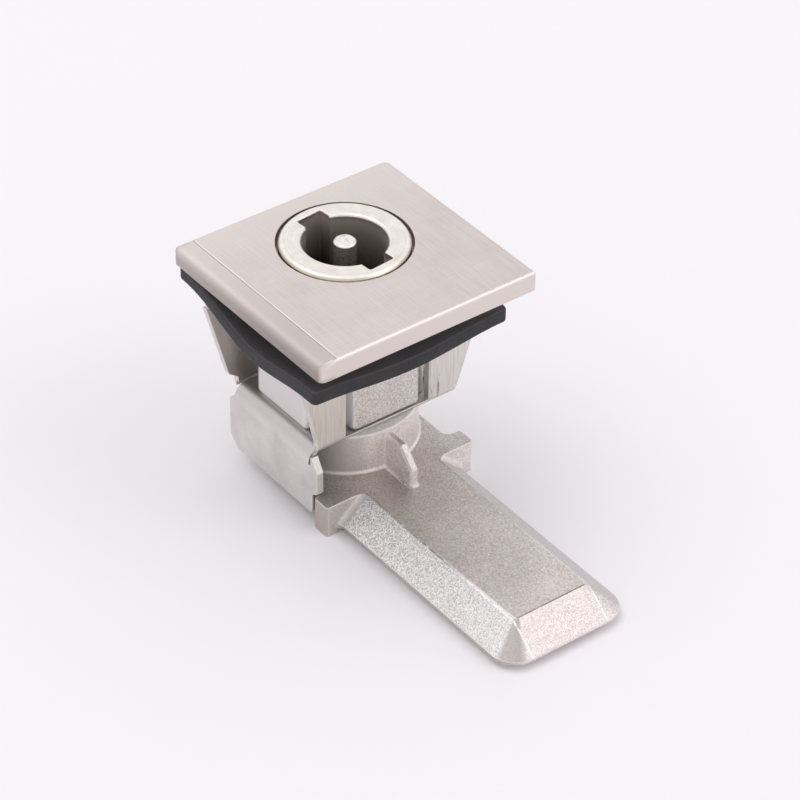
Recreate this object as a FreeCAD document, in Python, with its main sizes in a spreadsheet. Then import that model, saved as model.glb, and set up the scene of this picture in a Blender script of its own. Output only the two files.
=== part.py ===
# Clip-in cam lock with a square head, a double-bit key socket and a cam that swings through half a turn.
# Origin: the lock axis where the head's underside seats. +X is the way the cam points at rest, +Z leaves
# the head along the lock axis, and -Y is the side of the wide bevel and of the stop wall. Millimetres.
import FreeCAD, Part
import math
import os
import Sketcher
from FreeCAD import Placement, Rotation, Vector

doc = FreeCAD.newDocument("cam_lock")
sheet = doc.addObject("Spreadsheet::Sheet", "sizes")
touch = 0.01    # two places closer than this are the same place

# each driving dimension is written once, as name: (value, what it is)
driving = {
    # head
    "headBack": (12.0, "lock axis to the back edge of the head"),
    "headFront": (19.7, "lock axis to the front edge of the head"),
    "headRight": (15.7, "lock axis to the plain side of the head"),
    "headCrease": (15.5, "lock axis to the crease of the wide bevel"),
    "headThick": (2.8, "head plate above the seat"),
    "bevelReach": (2.8, "how far the bevel stands out past its crease"),
    "bevelDrop": (0.25, "fall of the bevel from its crease to its shoulder"),
    "bevelRound": (0.8, "round over the bevel's shoulder"),
    "bevelFootRound": (0.3, "round along the lower edge below the bevel"),
    "bevelFrontRound": (1.2, "upright corner of the head at the bevel's front end"),
    "bevelBackRound": (0.5, "upright corner of the head at the bevel's back end"),
    "headBackRound": (1.8, "upright corner of the head at its plain back end"),
    "headCornerRound": (0.3, "upright corner of the head at its plain front end"),
    "headEdgeRound": (0.5, "round over the head's three other top edges"),
    # cast body below the head
    "bodyDepth": (20.0, "seat to the foot of the body"),
    "bossFront": (9.4, "lock axis to the faces that show in the clip's windows"),
    "bossHalfY": (5.5, "half width of those faces"),
    "bossSide": (10.35, "lock axis to the side faces of the body"),
    "bossHalfX": (5.65, "half width of the side faces"),
    "coreHalf": (7.6, "half width of the body between the bosses"),
    "bossRound": (0.9, "upright edges of the bosses"),
    "footRound": (0.7, "lower edges of the bosses"),
    # driver
    "driverProud": (0.3, "ring face above the face of the head"),
    "driverFlangeRadius": (8.65, "ring seen in the head"),
    "driverFlangeThick": (2.4, "ring thickness"),
    "driverGroove": (0.35, "open groove round the ring"),
    "driverRimChamfer": (0.4, "broken rim of the ring"),
    "driverBarrelRadius": (7.9, "barrel under the ring"),
    "driverBarrelLength": (11.6, "ring face to the barrel's shoulder"),
    "shankRadius": (5.5, "round shank through the body"),
    "squareSide": (7.0, "square that drives the cam"),
    "squareLength": (4.6, "length of the square"),
    "runningGap": (0.05, "radial running clearance of the driver"),
    "seatGap": (0.05, "play under the ring and under the barrel"),
    # key socket
    "socketRadius": (5.65, "bore for the key"),
    "socketDepth": (9.2, "depth of the bore from the ring face"),
    "notchWall": (1.45, "ring left outside each bit notch"),
    "notchWidth": (4.05, "width of a bit notch"),
    "notchRound": (0.35, "outer corners of a bit notch"),
    "socketChamfer": (0.25, "broken edge of the bore"),
    "keyTurn": (5.0, "turn of the notches on the shank, in degrees"),
    "pinRadius": (1.5, "centre pin"),
    "pinBelowFace": (0.1, "pin top below the ring face"),
    "pinRooted": (2.0, "root of the pin, pressed in below the socket floor"),
    "pinRootRadius": (1.2, "root of the pin"),
    "pinChamfer": (0.2, "broken edge of the pin"),
    # shaft seal
    "sealWidth": (1.2, "square-cut seal ring, across and along the shaft"),
    "sealBelowSeat": (14.0, "seat to the middle of the seal ring"),
    "sealSideGap": (0.15, "play of the seal ring in its groove, each side"),
    "sealSeatGap": (0.02, "play of the seal ring inside and outside"),
    # spring clip
    "sheetThick": (1.0, "sheet of the clip"),
    "clipSeatGap": (0.05, "body foot to the clip's base"),
    "clipHalf": (9.45, "lock axis to the outside of the two leaves"),
    "leafBend": (0.3, "inner radius of the leaf bends"),
    "wingTopBelow": (6.3, "seat to the top of the wings"),
    "wingTopHalf": (15.9, "half width over the wings at their top"),
    "wingFootHalf": (11.6, "half width over the wings at their foot"),
    "wingFootRise": (1.9, "foot corner of a wing above the clip's base"),
    "frontWingTrim": (1.65, "front leaf's wing on the wall's side narrower at its top"),
    "backWingStep": (1.45, "back leaf's wing on the wall's side past the base at its foot"),
    "backWingRise": (1.05, "height of the slope under that foot"),
    "baseHalf": (11.2, "half length of the clip's base along the leaf bends"),
    "windowHalf": (6.75, "half width of the leaf window"),
    "shaftHoleGap": (0.6, "clip base clear of the shank"),
    "wallOut": (12.05, "lock axis to the outside of the stop wall"),
    "wallBend": (1.6, "inner radius of the wall's bend"),
    "wallBendHalf": (8.4, "half width of the wall's bend"),
    "reliefWidth": (0.5, "relief slot beside the wall's bend"),
    "wallPast": (2.8, "wall past the face of the cam plate"),
    "stopHalf": (9.3, "lock axis to the wall's two stop edges"),
    "wallCornerCut": (1.7, "cut lower corner of the wall away from the cam"),
    "earReach": (1.1, "ear of the wall past its stop edge"),
    "earSlope": (0.7, "height of the ear's lower slope"),
    "earTopCut": (1.2, "cut upper corner of the ear, across"),
    "earTopDrop": (2.0, "cut upper corner of the ear, downwards"),
    "earTopGap": (0.15, "top of the ear below the clip's base"),
    "lugHeadroom": (0.3, "ear above the top of the lug"),
    "wallRound": (0.6, "rounded corners of the wall"),
    # cam
    "hubGap": (0.25, "clip base to the hub"),
    "hubRadius": (9.9, "hub of the cam"),
    "hubHeight": (6.2, "hub above the cam plate"),
    "hubFoot": (0.5, "fillet at the foot of the hub and of the rib"),
    "camThick": (4.75, "cam plate at the hub and the lugs"),
    "plateHalf": (9.8, "half width of the cam plate"),
    "lugBack": (9.6, "lock axis to the back of the lugs"),
    "lugLength": (2.9, "lug along the cam"),
    "lugReach": (12.05, "lock axis to the outside of the lugs"),
    "lugRound": (0.5, "outer corners of the lugs"),
    "lugInnerRound": (1.2, "corner between plate and lug"),
    "tongueTip": (47.9, "lock axis to the tip at its foot"),
    "tongueRaise": (0.9, "tongue's underside above the plate's"),
    "tongueHalf": (9.85, "half width of the tongue at its foot"),
    "tongueTopRoot": (6.1, "half width of the flat top at the lugs"),
    "tongueTopTip": (5.7, "half width of the flat top at the tip"),
    "tongueSlope": (4.0, "reach of the tip's bevel"),
    "tongueEdge": (0.4, "upright edge of the tongue at its foot"),
    "tongueTipRound": (3.6, "tip corners at the foot"),
    "tongueTopRound": (0.6, "tip corners of the flat top"),
    "ribThick": (1.2, "rib in front of the hub"),
    "ribBelowHub": (0.75, "rib top below the hub top"),
    "ribFlatEnd": (13.0, "lock axis to the end of the rib's flat top"),
    "ribFront": (15.5, "lock axis to the rib's front"),
    "ribToe": (2.7, "height of the rib's upright front"),
    "valleyRound": (1.0, "valley between a lug and the tongue's bevel"),
    "ribRound": (0.3, "corners of the rib seen from the side"),
    "ribEdge": (0.25, "broken edges of the rib"),
    "squareGap": (0.05, "play of the cam on the square, each side"),
    "squareShort": (0.2, "square short of the web, so that the screw grips the cam"),
    "recessRadius": (6.3, "recess for the screw head in the cam's underside"),
    # fasteners
    "screwRadius": (2.5, "cam screw"),
    "screwGap": (0.02, "screw in its threaded hole"),
    "screwGrip": (9.0, "screw in the driver past the cam's web"),
    "screwHoleSpare": (1.5, "threaded hole past the screw's end"),
    "screwHeadRadius": (4.4, "screw head"),
    "screwHeadHeight": (2.7, "screw head height"),
    "screwHeadChamfer": (0.8, "broken edge of the screw head"),
    "hexFlats": (3.0, "hexagon socket of the screw, across its flats"),
    "hexDepth": (1.6, "depth of the hexagon socket"),
    "washerRadius": (5.0, "flat washer"),
    "washerThick": (1.0, "flat washer thickness"),
    "washerGap": (0.2, "washers clear of the screw"),
    "springWasherRadius": (4.3, "split washer"),
    "springWasherThick": (1.2, "split washer thickness"),
    "springWasherSlit": (0.8, "slit of the split washer"),
    # gasket
    "gasketThick": (2.0, "rubber sheet"),
    "gasketBackInset": (0.25, "gasket inside the back edge of the head"),
    "gasketFrontInset": (1.75, "gasket inside the front edge of the head"),
    "gasketBevelInset": (0.4, "gasket inside the bevel's lower edge"),
    "gasketPlainInset": (3.0, "gasket inside the plain side of the head"),
    "gasketRound": (0.7, "outer corners of the gasket"),
    "gasketHoleGap": (0.4, "opening of the gasket clear of the body"),
    "gasketHoleRound": (1.2, "corners of the opening"),
    "gasketLift": (0.1, "gasket's back edge below the seat"),
    "gasketFrontDrop": (2.6, "front corners of the gasket below its back edge"),
    "gasketSagPower": (2.5, "how far the sag gathers in the middle, as a power"),
    "gasketCrossSag": (1.15, "sag of the middle of the gasket's front edge"),
    "gasketWingGap": (0.35, "gasket above the top of the front leaf"),
}
# sizes that follow from the driving ones
derived = {
    "none": "0",
    "headLength": "headBack + headFront",
    "bevelOut": "headCrease + bevelReach",
    "bevelShoulder": "headThick - bevelDrop",
    "ringTop": "headThick + driverProud",
    "trimBack": "headBack + headThick",
    "trimFront": "headFront + headThick",
    "trimLeft": "bevelOut + headThick",
    "trimRight": "headRight + headThick",
    "trimTop": "2 * headThick",
    "easeBack": "2 * headEdgeRound - headBack",
    "easeFront": "headFront - 2 * headEdgeRound",
    "flangeSeat": "ringTop - driverFlangeThick",
    "rimTopRadius": "driverFlangeRadius - driverRimChamfer",
    "rimFoot": "ringTop - driverRimChamfer",
    "recessFloor": "flangeSeat - seatGap",
    "recessBore": "driverFlangeRadius + driverGroove",
    "barrelBore": "driverBarrelRadius + runningGap",
    "barrelEnd": "ringTop - driverBarrelLength",
    "barrelFloor": "barrelEnd - seatGap",
    "shankBore": "shankRadius + runningGap",
    "bodyFoot": "-bodyDepth",
    "clipTop": "bodyFoot - clipSeatGap",
    "clipBottom": "clipTop - sheetThick",
    "hubTop": "clipBottom - hubGap",
    "plateTop": "hubTop - hubHeight",
    "camFloor": "plateTop - camThick",
    "tongueUnder": "camFloor + tongueRaise",
    "tongueFoot": "tongueUnder + tongueEdge",
    "squareEnd": "hubTop - squareLength",
    "webFoot": "squareEnd - squareShort",
    "squareHalf": "squareSide / 2",
    "squareHoleHalf": "squareHalf + squareGap",
    "socketFloor": "ringTop - socketDepth",
    "notchHalfSpan": "driverFlangeRadius - notchWall",
    "notchHalfWidth": "notchWidth / 2",
    "pinTop": "ringTop - pinBelowFace",
    "pinFoot": "socketFloor - pinRooted",
    "pinShoulder": "pinTop - pinChamfer",
    "pinTopRadius": "pinRadius - pinChamfer",
    "sealTop": "sealWidth / 2 - sealBelowSeat",
    "sealFoot": "sealTop - sealWidth",
    "sealOut": "shankBore - sealSeatGap",
    "sealIn": "sealOut - sealWidth",
    "sealGrooveRadius": "sealIn - sealSeatGap",
    "sealGrooveTop": "sealTop + sealSideGap",
    "sealGrooveFoot": "sealFoot - sealSideGap",
    "clipInside": "clipHalf - sheetThick",
    "leafBendOuter": "leafBend + sheetThick",
    "wingTop": "-wingTopBelow",
    "wingFoot": "clipBottom + wingFootRise",
    "wingSpan": "2 * wingTopHalf",
    "frontWingTop": "wingTopHalf - frontWingTrim",
    "backWingHalf": "baseHalf + backWingStep",
    "backWingFoot": "wingFoot + backWingRise",
    "shaftHole": "shankRadius + shaftHoleGap",
    "wallIn": "wallOut - sheetThick",
    "wallBendOuter": "wallBend + sheetThick",
    "wallBendStart": "wallOut - wallBendOuter",
    "wallFlatTop": "clipTop - wallBendOuter",
    "reliefHalf": "wallBendHalf + reliefWidth",
    "wallFoot": "plateTop - wallPast",
    "wallFootCorner": "wallFoot + wallCornerCut",
    "wallFootHalf": "stopHalf - wallCornerCut",
    "earFoot": "plateTop + lugHeadroom",
    "earSlopeTop": "earFoot + earSlope",
    "earOut": "stopHalf + earReach",
    "earTop": "clipBottom - earTopGap",
    "earShoulder": "earTop - earTopDrop",
    "earTopOut": "earOut - earTopCut",
    "lugFront": "lugBack + lugLength",
    "tongueRoot": "lugFront - lugLength / 2",
    "tongueTopEnd": "tongueTip - tongueSlope",
    "ribTop": "hubTop - ribBelowHub",
    "ribToeTop": "plateTop + ribToe",
    "ribHalf": "ribThick / 2",
    "ribRoot": "hubRadius - hubFoot",
    "washerFoot": "webFoot - washerThick",
    "springFoot": "washerFoot - springWasherThick",
    "screwFoot": "springFoot - screwHeadHeight",
    "screwRimFoot": "screwFoot + screwHeadChamfer",
    "screwFaceRadius": "screwHeadRadius - screwHeadChamfer",
    "hexHalf": "hexFlats / 2",
    "hexCorner": "hexFlats / sqrt(3)",
    "hexCornerHalf": "hexCorner / 2",
    "screwEnd": "webFoot + screwGrip",
    "screwHoleEnd": "screwEnd + screwHoleSpare",
    "screwBore": "screwRadius + screwGap",
    "washerBore": "screwRadius + washerGap",
    "slitHalf": "springWasherSlit / 2",
    "slitOut": "springWasherRadius + washerGap",
    "screwHoleDepth": "screwHoleEnd - squareEnd",
    "webThick": "hubTop - webFoot",
    "recessDepth": "webFoot - camFloor",
    "ribFoot": "plateTop - ribHalf",
    "bendWidth": "2 * wallBendHalf",
    "bendRoot": "wallBendStart - sheetThick / 2",
    "bendEnd": "wallFlatTop - sheetThick / 2",
    "cutOut": "wingTopHalf + sheetThick",
    "cutTop": "wingTop + sheetThick",
    "cutFoot": "clipBottom - sheetThick",
    "gasketBack": "gasketBackInset - headBack",
    "gasketAhead": "headFront - gasketFrontInset",
    "gasketLeft": "gasketBevelInset - bevelOut",
    "gasketRight": "headRight - gasketPlainInset",
    "gasketHoleHalf": "bossFront + gasketHoleGap",
    "gasketHoleSide": "bossSide + gasketHoleGap",
    "leafAlong": "(clipInside - gasketBack) / (gasketAhead - gasketBack)",
    "leafAcross": "(-gasketHoleSide - gasketLeft) / (gasketRight - gasketLeft)",
    "leafDrop": "gasketFrontDrop * sin(90 * leafAlong) ^ 2",
    "leafCrossSag": "gasketCrossSag * leafAlong * sin(180 * leafAcross) ^ 2",
    "leafRoom": "wingTopBelow - gasketWingGap - gasketThick - gasketLift",
    "gasketSag": "(leafRoom - leafDrop - leafCrossSag) / sin(180 * leafAlong) ^ gasketSagPower",
}


def fillSheet():
    row = 1
    for name, (value, note) in driving.items():
        sheet.set(f"A{row}", note)
        sheet.set(f"B{row}", str(value))
        sheet.setAlias(f"B{row}", name)
        row += 1
    for name, formula in derived.items():
        sheet.set(f"A{row}", "follows")
        sheet.set(f"B{row}", "=" + formula)
        sheet.setAlias(f"B{row}", name)
        row += 1
    doc.recompute()


fillSheet()


def size(name):
    # Value of a cell; a leading minus sign turns it round
    if name.startswith("-"):
        return -size(name[1:])
    return float(sheet.get(name))


def cell(name):
    # The same cell as an expression
    if name.startswith("-"):
        return "-sizes." + name[1:]
    return "sizes." + name


def newBody(label):
    body = doc.addObject("PartDesign::Body", label)
    body.Label = label
    return body


def sketchOn(body, name, role, height=None, turn=None):
    # Sketch on one of the body's own planes, set off along that plane's normal
    sketch = body.newObject("Sketcher::SketchObject", name)
    plane = next(item for item in body.Origin.OriginFeatures if item.Role == role)
    sketch.AttachmentSupport = [(plane, "")]
    sketch.MapMode = "FlatFace"
    if height:
        sketch.setExpression("AttachmentOffset.Base.z", cell(height))
    if turn:
        sketch.AttachmentOffset = Placement(Vector(), Rotation(Vector(0, 0, 1), size(turn)))
        sketch.setExpression("AttachmentOffset.Rotation.Angle", cell(turn))
    return sketch


def bind(sketch, constraint, name):
    index = sketch.addConstraint(constraint)
    sketch.setExpression(f"Constraints[{index}]", cell(name))


def holdPoint(sketch, geometry, end, xName, yName):
    # Ties a point's two coordinates to cells, or to an axis where the coordinate is none
    if xName == "none":
        sketch.addConstraint(Sketcher.Constraint("PointOnObject", geometry, end, -2))
    else:
        bind(sketch, Sketcher.Constraint("DistanceX", -1, 1, geometry, end, size(xName)), xName)
    if yName == "none":
        sketch.addConstraint(Sketcher.Constraint("PointOnObject", geometry, end, -1))
    else:
        bind(sketch, Sketcher.Constraint("DistanceY", -1, 1, geometry, end, size(yName)), yName)


def outline(sketch, corners):
    # Closed outline through named corners (x, y) or rounded ones (x, y, radius)
    count = len(corners)
    points = [Vector(size(corner[0]), size(corner[1]), 0) for corner in corners]
    entries, leaves, bows = [], [], []
    for i, corner in enumerate(corners):
        here = points[i]
        if len(corner) == 2:
            entries.append(here)
            leaves.append(here)
            bows.append(None)
            continue
        back = (points[i - 1] - here).normalize()
        ahead = (points[(i + 1) % count] - here).normalize()
        half = back.getAngle(ahead) / 2
        radius = size(corner[2])
        entries.append(here + back * (radius / math.tan(half)))
        leaves.append(here + ahead * (radius / math.tan(half)))
        middle = here + (back + ahead).normalize() * (radius / math.sin(half))
        leftTurn = back.cross(ahead).z < 0
        bows.append((middle, radius, leftTurn))
    lines = []
    for i in range(count):
        line = Part.LineSegment(leaves[i], entries[(i + 1) % count])
        lines.append(sketch.addGeometry(line))
    for i, corner in enumerate(corners):
        before, after = lines[i - 1], lines[i]
        if bows[i] is None:
            sketch.addConstraint(Sketcher.Constraint("Coincident", before, 2, after, 1))
            holdPoint(sketch, after, 1, corner[0], corner[1])
            continue
        middle, radius, leftTurn = bows[i]
        first, last = (entries[i], leaves[i]) if leftTurn else (leaves[i], entries[i])
        start = math.atan2(first.y - middle.y, first.x - middle.x)
        stop = math.atan2(last.y - middle.y, last.x - middle.x)
        circle = Part.Circle(middle, Vector(0, 0, 1), radius)
        arc = sketch.addGeometry(Part.ArcOfCircle(circle, start, stop))
        sketch.addConstraint(Sketcher.Constraint("Tangent", before, 2, arc, 1 if leftTurn else 2))
        sketch.addConstraint(Sketcher.Constraint("Tangent", after, 1, arc, 2 if leftTurn else 1))
        bind(sketch, Sketcher.Constraint("Radius", arc, radius), corner[2])
        point = sketch.addGeometry(Part.Point(points[i]), True)
        sketch.addConstraint(Sketcher.Constraint("PointOnObject", point, 1, before))
        sketch.addConstraint(Sketcher.Constraint("PointOnObject", point, 1, after))
        holdPoint(sketch, point, 1, corner[0], corner[1])


def box(sketch, left, right, low, high, *rounding):
    # Rectangle between named coordinates, its corners rounded where a radius is named
    outline(sketch, [(left, low, *rounding), (right, low, *rounding),
                     (right, high, *rounding), (left, high, *rounding)])


def ringLine(sketch, radius):
    # Circle about the lock axis
    line = sketch.addGeometry(Part.Circle(Vector(), Vector(0, 0, 1), size(radius)))
    sketch.addConstraint(Sketcher.Constraint("Coincident", line, 3, -1, 1))
    bind(sketch, Sketcher.Constraint("Radius", line, size(radius)), radius)


def grow(body, kind, name, sketch, length=None, back=False, both=False):
    # Pad or Pocket of a sketch, through everything where no length is named
    feature = body.newObject("PartDesign::" + kind, name)
    feature.Profile = sketch
    if length:
        feature.setExpression("Length", cell(length))
    else:
        feature.Type = "ThroughAll"
    feature.Reversed = back
    if both:
        feature.SideType = "Symmetric"
    doc.recompute()
    return feature


def spin(body, kind, name, sketch):
    # Revolution or Groove of a half profile about the lock axis
    feature = body.newObject("PartDesign::" + kind, name)
    feature.Profile = sketch
    feature.ReferenceAxis = (sketch, ["V_Axis"])
    feature.Angle = 360
    doc.recompute()
    return feature


def dress(body, kind, name, amount, wanted):
    # Fillet or Chamfer on the edges of the body's newest feature that the test wants
    base = body.Tip
    names = [f"Edge{i + 1}" for i, edge in enumerate(base.Shape.Edges) if wanted(edge)]
    feature = body.newObject("PartDesign::" + kind, name)
    feature.Base = (base, names)
    prop = "Radius" if kind == "Fillet" else "Size"
    feature.setExpression(prop, cell(amount))
    doc.recompute()
    return feature


def near(value, name):
    return abs(value - size(name)) < touch


def upright(edge):
    # True for a straight edge along the lock axis
    box3 = edge.BoundBox
    return box3.XLength < touch and box3.YLength < touch


def level(edge, name):
    # True for an edge lying at a named height
    box3 = edge.BoundBox
    return near(box3.ZMin, name) and near(box3.ZMax, name)


def makeHousing():
    body = newBody("housing")
    # two crossed bars make the plus-shaped body, its ends the bosses that show in the clip's windows
    along = sketchOn(body, "barAlong", "XY_Plane")
    box(along, "-bossFront", "bossFront", "-bossHalfY", "bossHalfY", "bossRound")
    grow(body, "Pad", "padAlong", along, "bodyDepth", back=True)
    dress(body, "Fillet", "footAlong", "footRound", lambda edge: level(edge, "bodyFoot"))
    across = sketchOn(body, "barAcross", "XY_Plane")
    box(across, "-bossHalfX", "bossHalfX", "-bossSide", "bossSide", "bossRound")
    grow(body, "Pad", "padAcross", across, "bodyDepth", back=True)
    dress(body, "Fillet", "footAcross", "footRound",
          lambda edge: level(edge, "bodyFoot") and outsideBar(edge))
    core = sketchOn(body, "core", "XY_Plane")
    box(core, "-coreHalf", "coreHalf", "-coreHalf", "coreHalf", "bossRound")
    grow(body, "Pad", "padCore", core, "bodyDepth", back=True)
    # head plate, its section drawn across the cam: square on one side, and past a crease on the other
    # it falls a little to a rounded shoulder
    plate = sketchOn(body, "headSection", "YZ_Plane", height="-headBack")
    outline(plate, [("headRight", "none"), ("headRight", "headThick", "headEdgeRound"),
                    ("-headCrease", "headThick"), ("-bevelOut", "bevelShoulder", "bevelRound"),
                    ("-bevelOut", "none", "bevelFootRound")])
    grow(body, "Pad", "padHead", plate, "headLength")
    # the plan of the head rounds its upright corners
    trim = sketchOn(body, "headTrim", "XY_Plane")
    box(trim, "-trimBack", "trimFront", "-trimLeft", "trimRight")
    outline(trim, [("-headBack", "-bevelOut", "bevelBackRound"), ("headFront", "-bevelOut", "bevelFrontRound"),
                   ("headFront", "headRight", "headCornerRound"),
                   ("-headBack", "headRight", "headBackRound")])
    grow(body, "Pocket", "trimHead", trim, both=True)
    # the top edges along the head's back and front ends are eased
    ease = sketchOn(body, "headEase", "XZ_Plane")
    outline(ease, [("-trimBack", "none"), ("-headBack", "none"), ("-headBack", "headThick", "headEdgeRound"),
                   ("easeBack", "headThick"), ("easeBack", "trimTop"), ("-trimBack", "trimTop")])
    outline(ease, [("trimFront", "none"), ("headFront", "none"), ("headFront", "headThick", "headEdgeRound"),
                   ("easeFront", "headThick"), ("easeFront", "trimTop"), ("trimFront", "trimTop")])
    grow(body, "Pocket", "easeHead", ease, both=True)
    # stepped bore: open recess for the ring, barrel, shank
    bore = sketchOn(body, "boreSection", "XZ_Plane")
    outline(bore, [("none", "headThick"), ("recessBore", "headThick"), ("recessBore", "recessFloor"),
                   ("barrelBore", "recessFloor"), ("barrelBore", "barrelFloor"),
                   ("shankBore", "barrelFloor"), ("shankBore", "bodyFoot"), ("none", "bodyFoot")])
    spin(body, "Groove", "bore", bore)
    return body


def outsideBar(edge):
    # foot edges of the second bar that lie past the first bar's sides
    return abs(edge.CenterOfMass.y) > size("bossHalfY") + touch


def makeGasket():
    # the rubber sheet is laid over a sagging surface and cut to a square frame: it hangs from its back
    # edge, its front corners are lower, the middle of its front edge sags, and it clears the front leaf
    back, ahead = size("gasketBack"), size("gasketAhead")
    left, right = size("gasketLeft"), size("gasketRight")
    spans = 12
    rows = []
    for i in range(spans + 1):
        along = i / spans
        x = back + (ahead - back) * along
        sag = size("gasketSag") * math.sin(math.pi * along) ** size("gasketSagPower")
        drop = size("gasketFrontDrop") * math.sin(math.pi * along / 2) ** 2
        row = []
        for j in range(spans + 1):
            across = j / spans
            y = left + (right - left) * across
            cross = size("gasketCrossSag") * along * math.sin(math.pi * across) ** 2
            row.append(Vector(x, y, -size("gasketLift") - sag - drop - cross))
        rows.append(row)
    surface = Part.BSplineSurface()
    surface.interpolate(rows)
    sheetBody = surface.toShape().extrude(Vector(0, 0, -size("gasketThick")))
    deep = size("gasketSag") + size("gasketFrontDrop") + size("gasketThick") + size("gasketCrossSag")
    frame = roundedPrism(back, ahead, left, right, size("gasketRound"), 2 * deep)
    hole = roundedPrism(-size("gasketHoleHalf"), size("gasketHoleHalf"), -size("gasketHoleSide"),
                        size("gasketHoleSide"), size("gasketHoleRound"), 2 * deep)
    gasket = doc.addObject("Part::Feature", "gasket")
    gasket.Label = "gasket"
    gasket.Shape = sheetBody.common(frame.cut(hole))
    gasket.Placement = Placement(Vector(), Rotation())
    return gasket


def roundedPrism(left, right, low, high, radius, deep):
    # upright block with rounded corners, as deep above the seat as below it
    block = Part.makeBox(right - left, high - low, 2 * deep, Vector(left, low, -deep))
    return block.makeFillet(radius, [edge for edge in block.Edges if upright(edge)])


def makeClip():
    body = newBody("spring_clip")
    # a channel: the base under the body and the two leaves bent up from it
    channel = sketchOn(body, "channel", "XZ_Plane")
    outline(channel, [("-clipHalf", "wingTop"), ("-clipHalf", "clipBottom", "leafBendOuter"),
                      ("clipHalf", "clipBottom", "leafBendOuter"), ("clipHalf", "wingTop"),
                      ("clipInside", "wingTop"), ("clipInside", "clipTop", "leafBend"),
                      ("-clipInside", "clipTop", "leafBend"), ("-clipInside", "wingTop")])
    grow(body, "Pad", "padChannel", channel, "wingSpan", both=True)
    # the leaves taper to their foot, and what stands outside that outline is cut off; on the wall's side
    # the front leaf's wing is narrower and the back leaf's has a step at its foot
    plain = sketchOn(body, "cutPlain", "YZ_Plane")
    outline(plain, [("baseHalf", "cutFoot"), ("baseHalf", "clipTop"), ("wingFootHalf", "wingFoot"),
                    ("wingTopHalf", "wingTop"), ("cutOut", "wingTop"), ("cutOut", "cutFoot")])
    grow(body, "Pocket", "cutPlainPocket", plain, both=True)
    front = sketchOn(body, "cutFront", "YZ_Plane")
    outline(front, [("-baseHalf", "cutFoot"), ("-baseHalf", "wingFoot"), ("-frontWingTop", "wingTop"),
                    ("-cutOut", "wingTop"), ("-cutOut", "cutFoot")])
    grow(body, "Pocket", "cutFrontPocket", front, back=True)
    rear = sketchOn(body, "cutBack", "YZ_Plane")
    outline(rear, [("-baseHalf", "cutFoot"), ("-baseHalf", "wingFoot"), ("-backWingHalf", "backWingFoot"),
                   ("-wingTopHalf", "wingTop"), ("-cutOut", "wingTop"), ("-cutOut", "cutFoot")])
    grow(body, "Pocket", "cutBackPocket", rear)
    window = sketchOn(body, "window", "YZ_Plane")
    box(window, "-windowHalf", "windowHalf", "clipTop", "cutTop")
    grow(body, "Pocket", "windowPocket", window, both=True)
    hole = sketchOn(body, "shaftHole", "XY_Plane", height="clipTop")
    ringLine(hole, "shaftHole")
    grow(body, "Pocket", "shaftHolePocket", hole, "sheetThick")
    # on the bevel's side the base gives way to the bend of the stop wall, with a relief slot at each end
    relief = sketchOn(body, "relief", "XY_Plane", height="clipTop")
    box(relief, "-reliefHalf", "reliefHalf", "-cutOut", "-wallBendStart")
    grow(body, "Pocket", "reliefPocket", relief, "sheetThick")
    bend = sketchOn(body, "wallBend", "YZ_Plane", height="-wallBendHalf")
    outline(bend, [("-bendRoot", "clipTop"), ("-wallOut", "clipTop", "wallBendOuter"),
                   ("-wallOut", "bendEnd"), ("-wallIn", "bendEnd"),
                   ("-wallIn", "clipBottom", "wallBend"), ("-bendRoot", "clipBottom")])
    grow(body, "Pad", "padBend", bend, "bendWidth")
    wall = sketchOn(body, "wall", "XZ_Plane", height="wallIn")
    outline(wall, [("-stopHalf", "wallFlatTop"), ("-stopHalf", "wallFootCorner", "wallRound"),
                   ("-wallFootHalf", "wallFoot", "wallRound"), ("stopHalf", "wallFoot", "wallRound"),
                   ("stopHalf", "earFoot"), ("earOut", "earSlopeTop"), ("earOut", "earShoulder"),
                   ("earTopOut", "earTop"), ("reliefHalf", "earTop"), ("reliefHalf", "wallFlatTop")])
    grow(body, "Pad", "padWall", wall, "sheetThick")
    return body


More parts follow.
